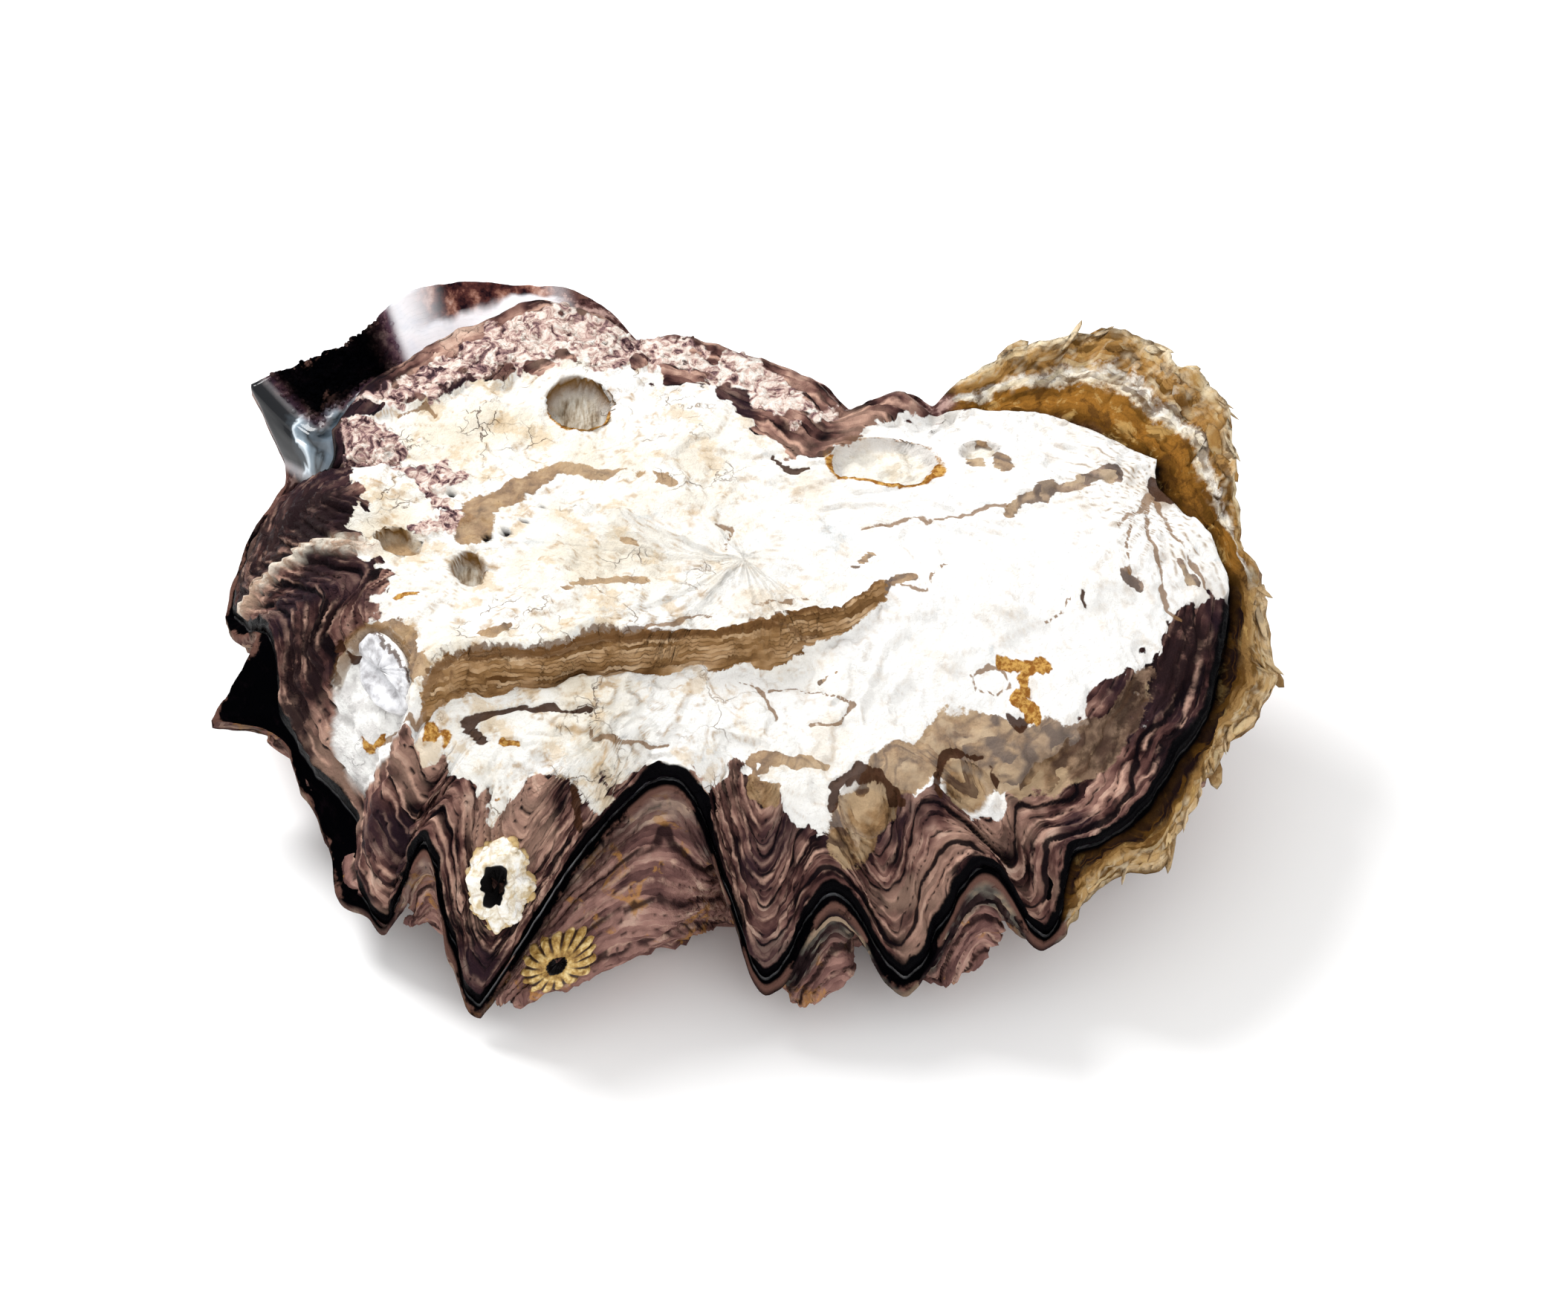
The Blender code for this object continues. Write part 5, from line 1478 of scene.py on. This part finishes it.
# %% Scatter: the tree's inputs, and where things grow
scatter = bpy.data.node_groups.new("scatter_on_shell", "GeometryNodeTree")
scatter.interface.new_socket("Geometry", in_out="INPUT", socket_type="NodeSocketGeometry")
SCATTER_INPUTS = {}
for label, kind in (
    ("Per square mm", "Float"), ("Long mm", "Float"), ("Wide mm", "Float"), ("Thick mm", "Float"), ("Curl", "Float"),
    ("Tip", "Float"), ("Sunk", "Float"), ("Along", "Float"), ("Seed", "Int"), ("Finish", "Material"),
):
    made = scatter.interface.new_socket(label, in_out="INPUT", socket_type="NodeSocket" + kind)
    SCATTER_INPUTS[label] = made.identifier
scatter.interface.new_socket("Geometry", in_out="OUTPUT", socket_type="NodeSocketGeometry")
g = Graph(scatter)
given = g.values(scatter.nodes.new("NodeGroupInput").outputs)
ends = scatter.nodes.new("NodeGroupOutput")

mask = g.node("GeometryNodeInputNamedAttribute", {"data_type": "FLOAT"}, Name="scatter_here").outputs[0]
points = g.node(
    "GeometryNodeDistributePointsOnFaces", {"distribute_method": "RANDOM"}, Mesh=given["Geometry"],
    Density=given["Per square mm"] * 1e6 * mask, Seed=given["Seed"],
).outputs
print("scatter inputs:", *SCATTER_INPUTS)

# %% Scatter: one grain or flake
# A ball of 32 faces is pressed flat, and bent along its length.
ball = g.node("GeometryNodeMeshUVSphere", Segments=8, Rings=4, Radius=0.5).outputs["Mesh"]
at = g.axes(g.node("GeometryNodeInputPosition").outputs[0])
along, across, up = [at[way] * given[side] * MM for way, side in zip("XYZ", ("Long mm", "Wide mm", "Thick mm"))]
up = up + at["X"] * at["X"] * (given["Curl"] * MM) - given["Sunk"] * MM
shaped = g.node("ShaderNodeCombineXYZ", X=along, Y=across, Z=up).outputs[0]
grain = g.node("GeometryNodeSetPosition", Geometry=ball, Position=shaped).outputs["Geometry"]
print("nodes so far:", len(scatter.nodes))

# %% Scatter: how each one lies
# Grains lie any way round. Flakes lie along the margin, with a small swing.
WOBBLE = 0.12
FULL_TURN, HELD = 6.283, 5.6  # how far a grain may turn, and how much of that a flake loses
SMALLEST, LARGEST = 0.45, 1.35
margin_way = g.node("GeometryNodeInputNamedAttribute", {"data_type": "FLOAT_VECTOR"}, Name="margin_way").outputs[0]
facing = g.node(
    "FunctionNodeAlignRotationToVector", {"axis": "X", "pivot_axis": "Z"},
    Factor=given["Along"], Rotation=points["Rotation"], Vector=margin_way,
).outputs["Rotation"]
most = g.node("ShaderNodeCombineXYZ", X=WOBBLE, Y=WOBBLE, Z=FULL_TURN - given["Along"] * HELD).outputs[0]
spin = g.node(
    "FunctionNodeRandomValue", {"data_type": "FLOAT_VECTOR"},
    Min=(-WOBBLE, -WOBBLE, 0.0), Max=most, Seed=given["Seed"],
).outputs["Value"]
tipped = g.node("ShaderNodeCombineXYZ", Y=given["Tip"]).outputs[0]


def rotated(first, then):
    settings = {"rotation_type": "EULER", "space": "OBJECT"}
    return g.node("FunctionNodeRotateEuler", settings, Rotation=first, Rotate_By=then).outputs["Rotation"]


size = g.node("FunctionNodeRandomValue", {"data_type": "FLOAT"})
for socket, value in zip([i for i in size.inputs if i.type == "VALUE" and i.enabled][:2], (SMALLEST, LARGEST)):
    socket.default_value = value
placed = g.node(
    "GeometryNodeInstanceOnPoints", Points=points["Points"], Instance=grain,
    Rotation=rotated(facing, rotated(spin, tipped)), Scale=next(o for o in size.outputs if o.enabled),
)
real = g.node("GeometryNodeRealizeInstances", Geometry=placed.outputs["Instances"])
finish = g.node("GeometryNodeSetMaterial", Geometry=real.outputs["Geometry"], Material=given["Finish"])
scatter.links.new(finish.outputs["Geometry"], ends.inputs["Geometry"])
print("scatter tree:", len(scatter.nodes), "nodes")


# %% Scatter: use it
def paint_of(piece, name):
    values = np.zeros(len(piece.data.vertices), np.float32)
    piece.data.attributes[name].data.foreach_get("value", values)
    return values


def scatter_over(name, piece, here, material, way=None, **settings):
    work = piece.data.copy()
    work.attributes.new("scatter_here", "FLOAT", "POINT").data.foreach_set("value", here.astype(np.float32))
    if way is not None:
        ways = work.attributes.new("margin_way", "FLOAT_VECTOR", "POINT")
        ways.data.foreach_set("vector", way.astype(np.float32).ravel())
    carrier = bpy.data.objects.new(name, work)
    bpy.context.scene.collection.objects.link(carrier)
    modifier = carrier.modifiers.new("scatter", "NODES")
    modifier.node_group = scatter
    for label, value in settings.items():
        modifier[SCATTER_INPUTS[label.replace("_", " ")]] = value
    modifier[SCATTER_INPUTS["Finish"]] = material
    depsgraph = bpy.context.evaluated_depsgraph_get()
    view = carrier.evaluated_get(depsgraph)
    plain = bpy.data.meshes.new_from_object(view, preserve_all_data_layers=True, depsgraph=depsgraph)
    carrier.modifiers.clear()
    carrier.data = plain
    bpy.data.meshes.remove(work)
    plain.shade_smooth()
    print(name, len(plain.polygons), "triangles")
    return carrier


low_out, low_inside = paint_of(lower_valve, "out"), paint_of(lower_valve, "inside")
golden = np.maximum(paint_of(lower_valve, "gold"), paint_of(lower_valve, "flake"))
way = np.zeros((len(lower_valve.data.vertices), 3))
rim_way = np.roll(LIP, -1, axis=0) - np.roll(LIP, 1, axis=0)
rim_way /= np.linalg.norm(rim_way, axis=1, keepdims=True)
way[: LIP_RINGS * COLUMNS] = np.tile(rim_way, (LIP_RINGS, 1))
way[wall_start : wall_start + WALL_RINGS * COLUMNS] = np.tile(rim_way, (WALL_RINGS, 1))
flakes = scatter_over(
    "golden_flakes", lower_valve, golden * low_inside * smoothstep(0.55, 0.9, low_out), shell_cup, way,
    Per_square_mm=0.14, Long_mm=3.6, Wide_mm=1.5, Thick_mm=0.3, Curl=0.4, Tip=0.05, Sunk=0.16, Along=1.0, Seed=4,
)
grains = scatter_over(
    "black_grains", lower_valve, paint_of(lower_valve, "granular") * low_inside, shell_cup,
    Per_square_mm=5.0, Long_mm=0.55, Wide_mm=0.48, Thick_mm=0.42, Curl=0.0, Tip=0.0, Sunk=0.05, Seed=7,
)
crumbs = scatter_over(
    "crust_crumbs", upper_valve, smoothstep(0.35, 0.8, paint_of(upper_valve, "crust")), shell_top,
    Per_square_mm=1.3, Long_mm=0.95, Wide_mm=0.6, Thick_mm=0.4, Curl=0.4, Tip=0.2, Sunk=0.12, Seed=11,
)
knobs = scatter_over(
    "barnacle_knobs", white_barnacle,
    smoothstep(0.62, 0.3, paint_of(white_barnacle, "rise")) * (1 - paint_of(white_barnacle, "hollow")), white_wall,
    Per_square_mm=0.9, Long_mm=1.0, Wide_mm=0.85, Thick_mm=0.8, Curl=0.0, Tip=0.0, Sunk=0.05, Seed=3,
)

# %% Ride on the frame
dressed = [
    (upper_valve, "upper_valve", "upper_shell"), (crumbs, "upper_valve", "upper_shell"),
    (lower_valve, "lower_valve", "lower_shell"), (flakes, "lower_valve", "lower_shell"),
    (grains, "lower_valve", "lower_shell"), (white_barnacle, "white_barnacle", "barnacle"),
    (knobs, "white_barnacle", "barnacle"), (gold_barnacle, "gold_barnacle", "gold_barnacle"),
    (young_valve, "young_oyster_valve", "nacre"),
]
for piece, node, slot in dressed:
    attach(piece, "root")
    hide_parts(node)
print(len(dressed), "pieces ride on the frame")

# %% [markdown]
# ## Floor, light and camera
# The photograph was taken from about 45 degrees above the front, with soft, very bright light and no background.
# A large pale floor, a bright even sky and one broad soft lamp from the back left give the same look.

# %% Floor and sky
REACH, LEVEL = 3, -0.00002  # the floor lies a hair under the scar, so that the two don't flicker
corners = [(-REACH, -REACH, LEVEL), (REACH, -REACH, LEVEL), (REACH, REACH, LEVEL), (-REACH, REACH, LEVEL)]
floor = bpy.data.meshes.new("floor")
floor.from_pydata(corners, [], [(0, 1, 2, 3)])
floor_object = bpy.data.objects.new("floor", floor)
bpy.context.scene.collection.objects.link(floor_object)
floor_material, g, shader = new_material("pale_floor", 0.9)
g.feed(shader.inputs["Base Color"], (0.92, 0.92, 0.92))
floor.materials.append(floor_material)

world = bpy.data.worlds.new("studio")
world.use_nodes = True
sky = world.node_tree.nodes["Background"].inputs
sky["Color"].default_value, sky["Strength"].default_value = (1.0, 1.0, 1.0, 1.0), 0.88
bpy.context.scene.world = world
print("floor of", 2 * REACH, "m, sky strength", round(sky["Strength"].default_value, 2))


# %% Lamps
def soft_lamp(name, place, aim, size, power):
    light = bpy.data.lights.new(name, "AREA")
    light.shape, light.size, light.energy = "DISK", size, power
    lamp = bpy.data.objects.new(name, light)
    lamp.location = place
    lamp.rotation_euler = (Vector(aim) - Vector(place)).to_track_quat("-Z", "Y").to_euler()
    bpy.context.scene.collection.objects.link(lamp)


soft_lamp("back_left_lamp", (-0.35, 0.35, 0.55), (0, 0, 0.02), 0.3, 4.4)
soft_lamp("front_lamp", (0.25, -0.55, 0.45), (0, 0, 0.02), 0.6, 1.6)
print(len(bpy.data.lights), "lamps")

# %% Camera
DISTANCE = 452.6 * MM
TILT = math.radians(45)
aim = Vector((4.39, 0.62, 17.0)) * MM
camera_data = bpy.data.cameras.new("camera")
camera_data.lens, camera_data.sensor_width, camera_data.clip_start = 100.0, 36.0, 0.01
camera = bpy.data.objects.new("camera", camera_data)
camera.location = aim + Vector((0.0, -math.sin(TILT), math.cos(TILT))) * DISTANCE
camera.rotation_euler = (TILT, 0.0, 0.0)
bpy.context.scene.collection.objects.link(camera)
bpy.context.scene.camera = camera
bpy.context.scene.view_settings.view_transform = "Standard"
print("camera at mm:", [round(c / MM, 1) for c in camera.location])
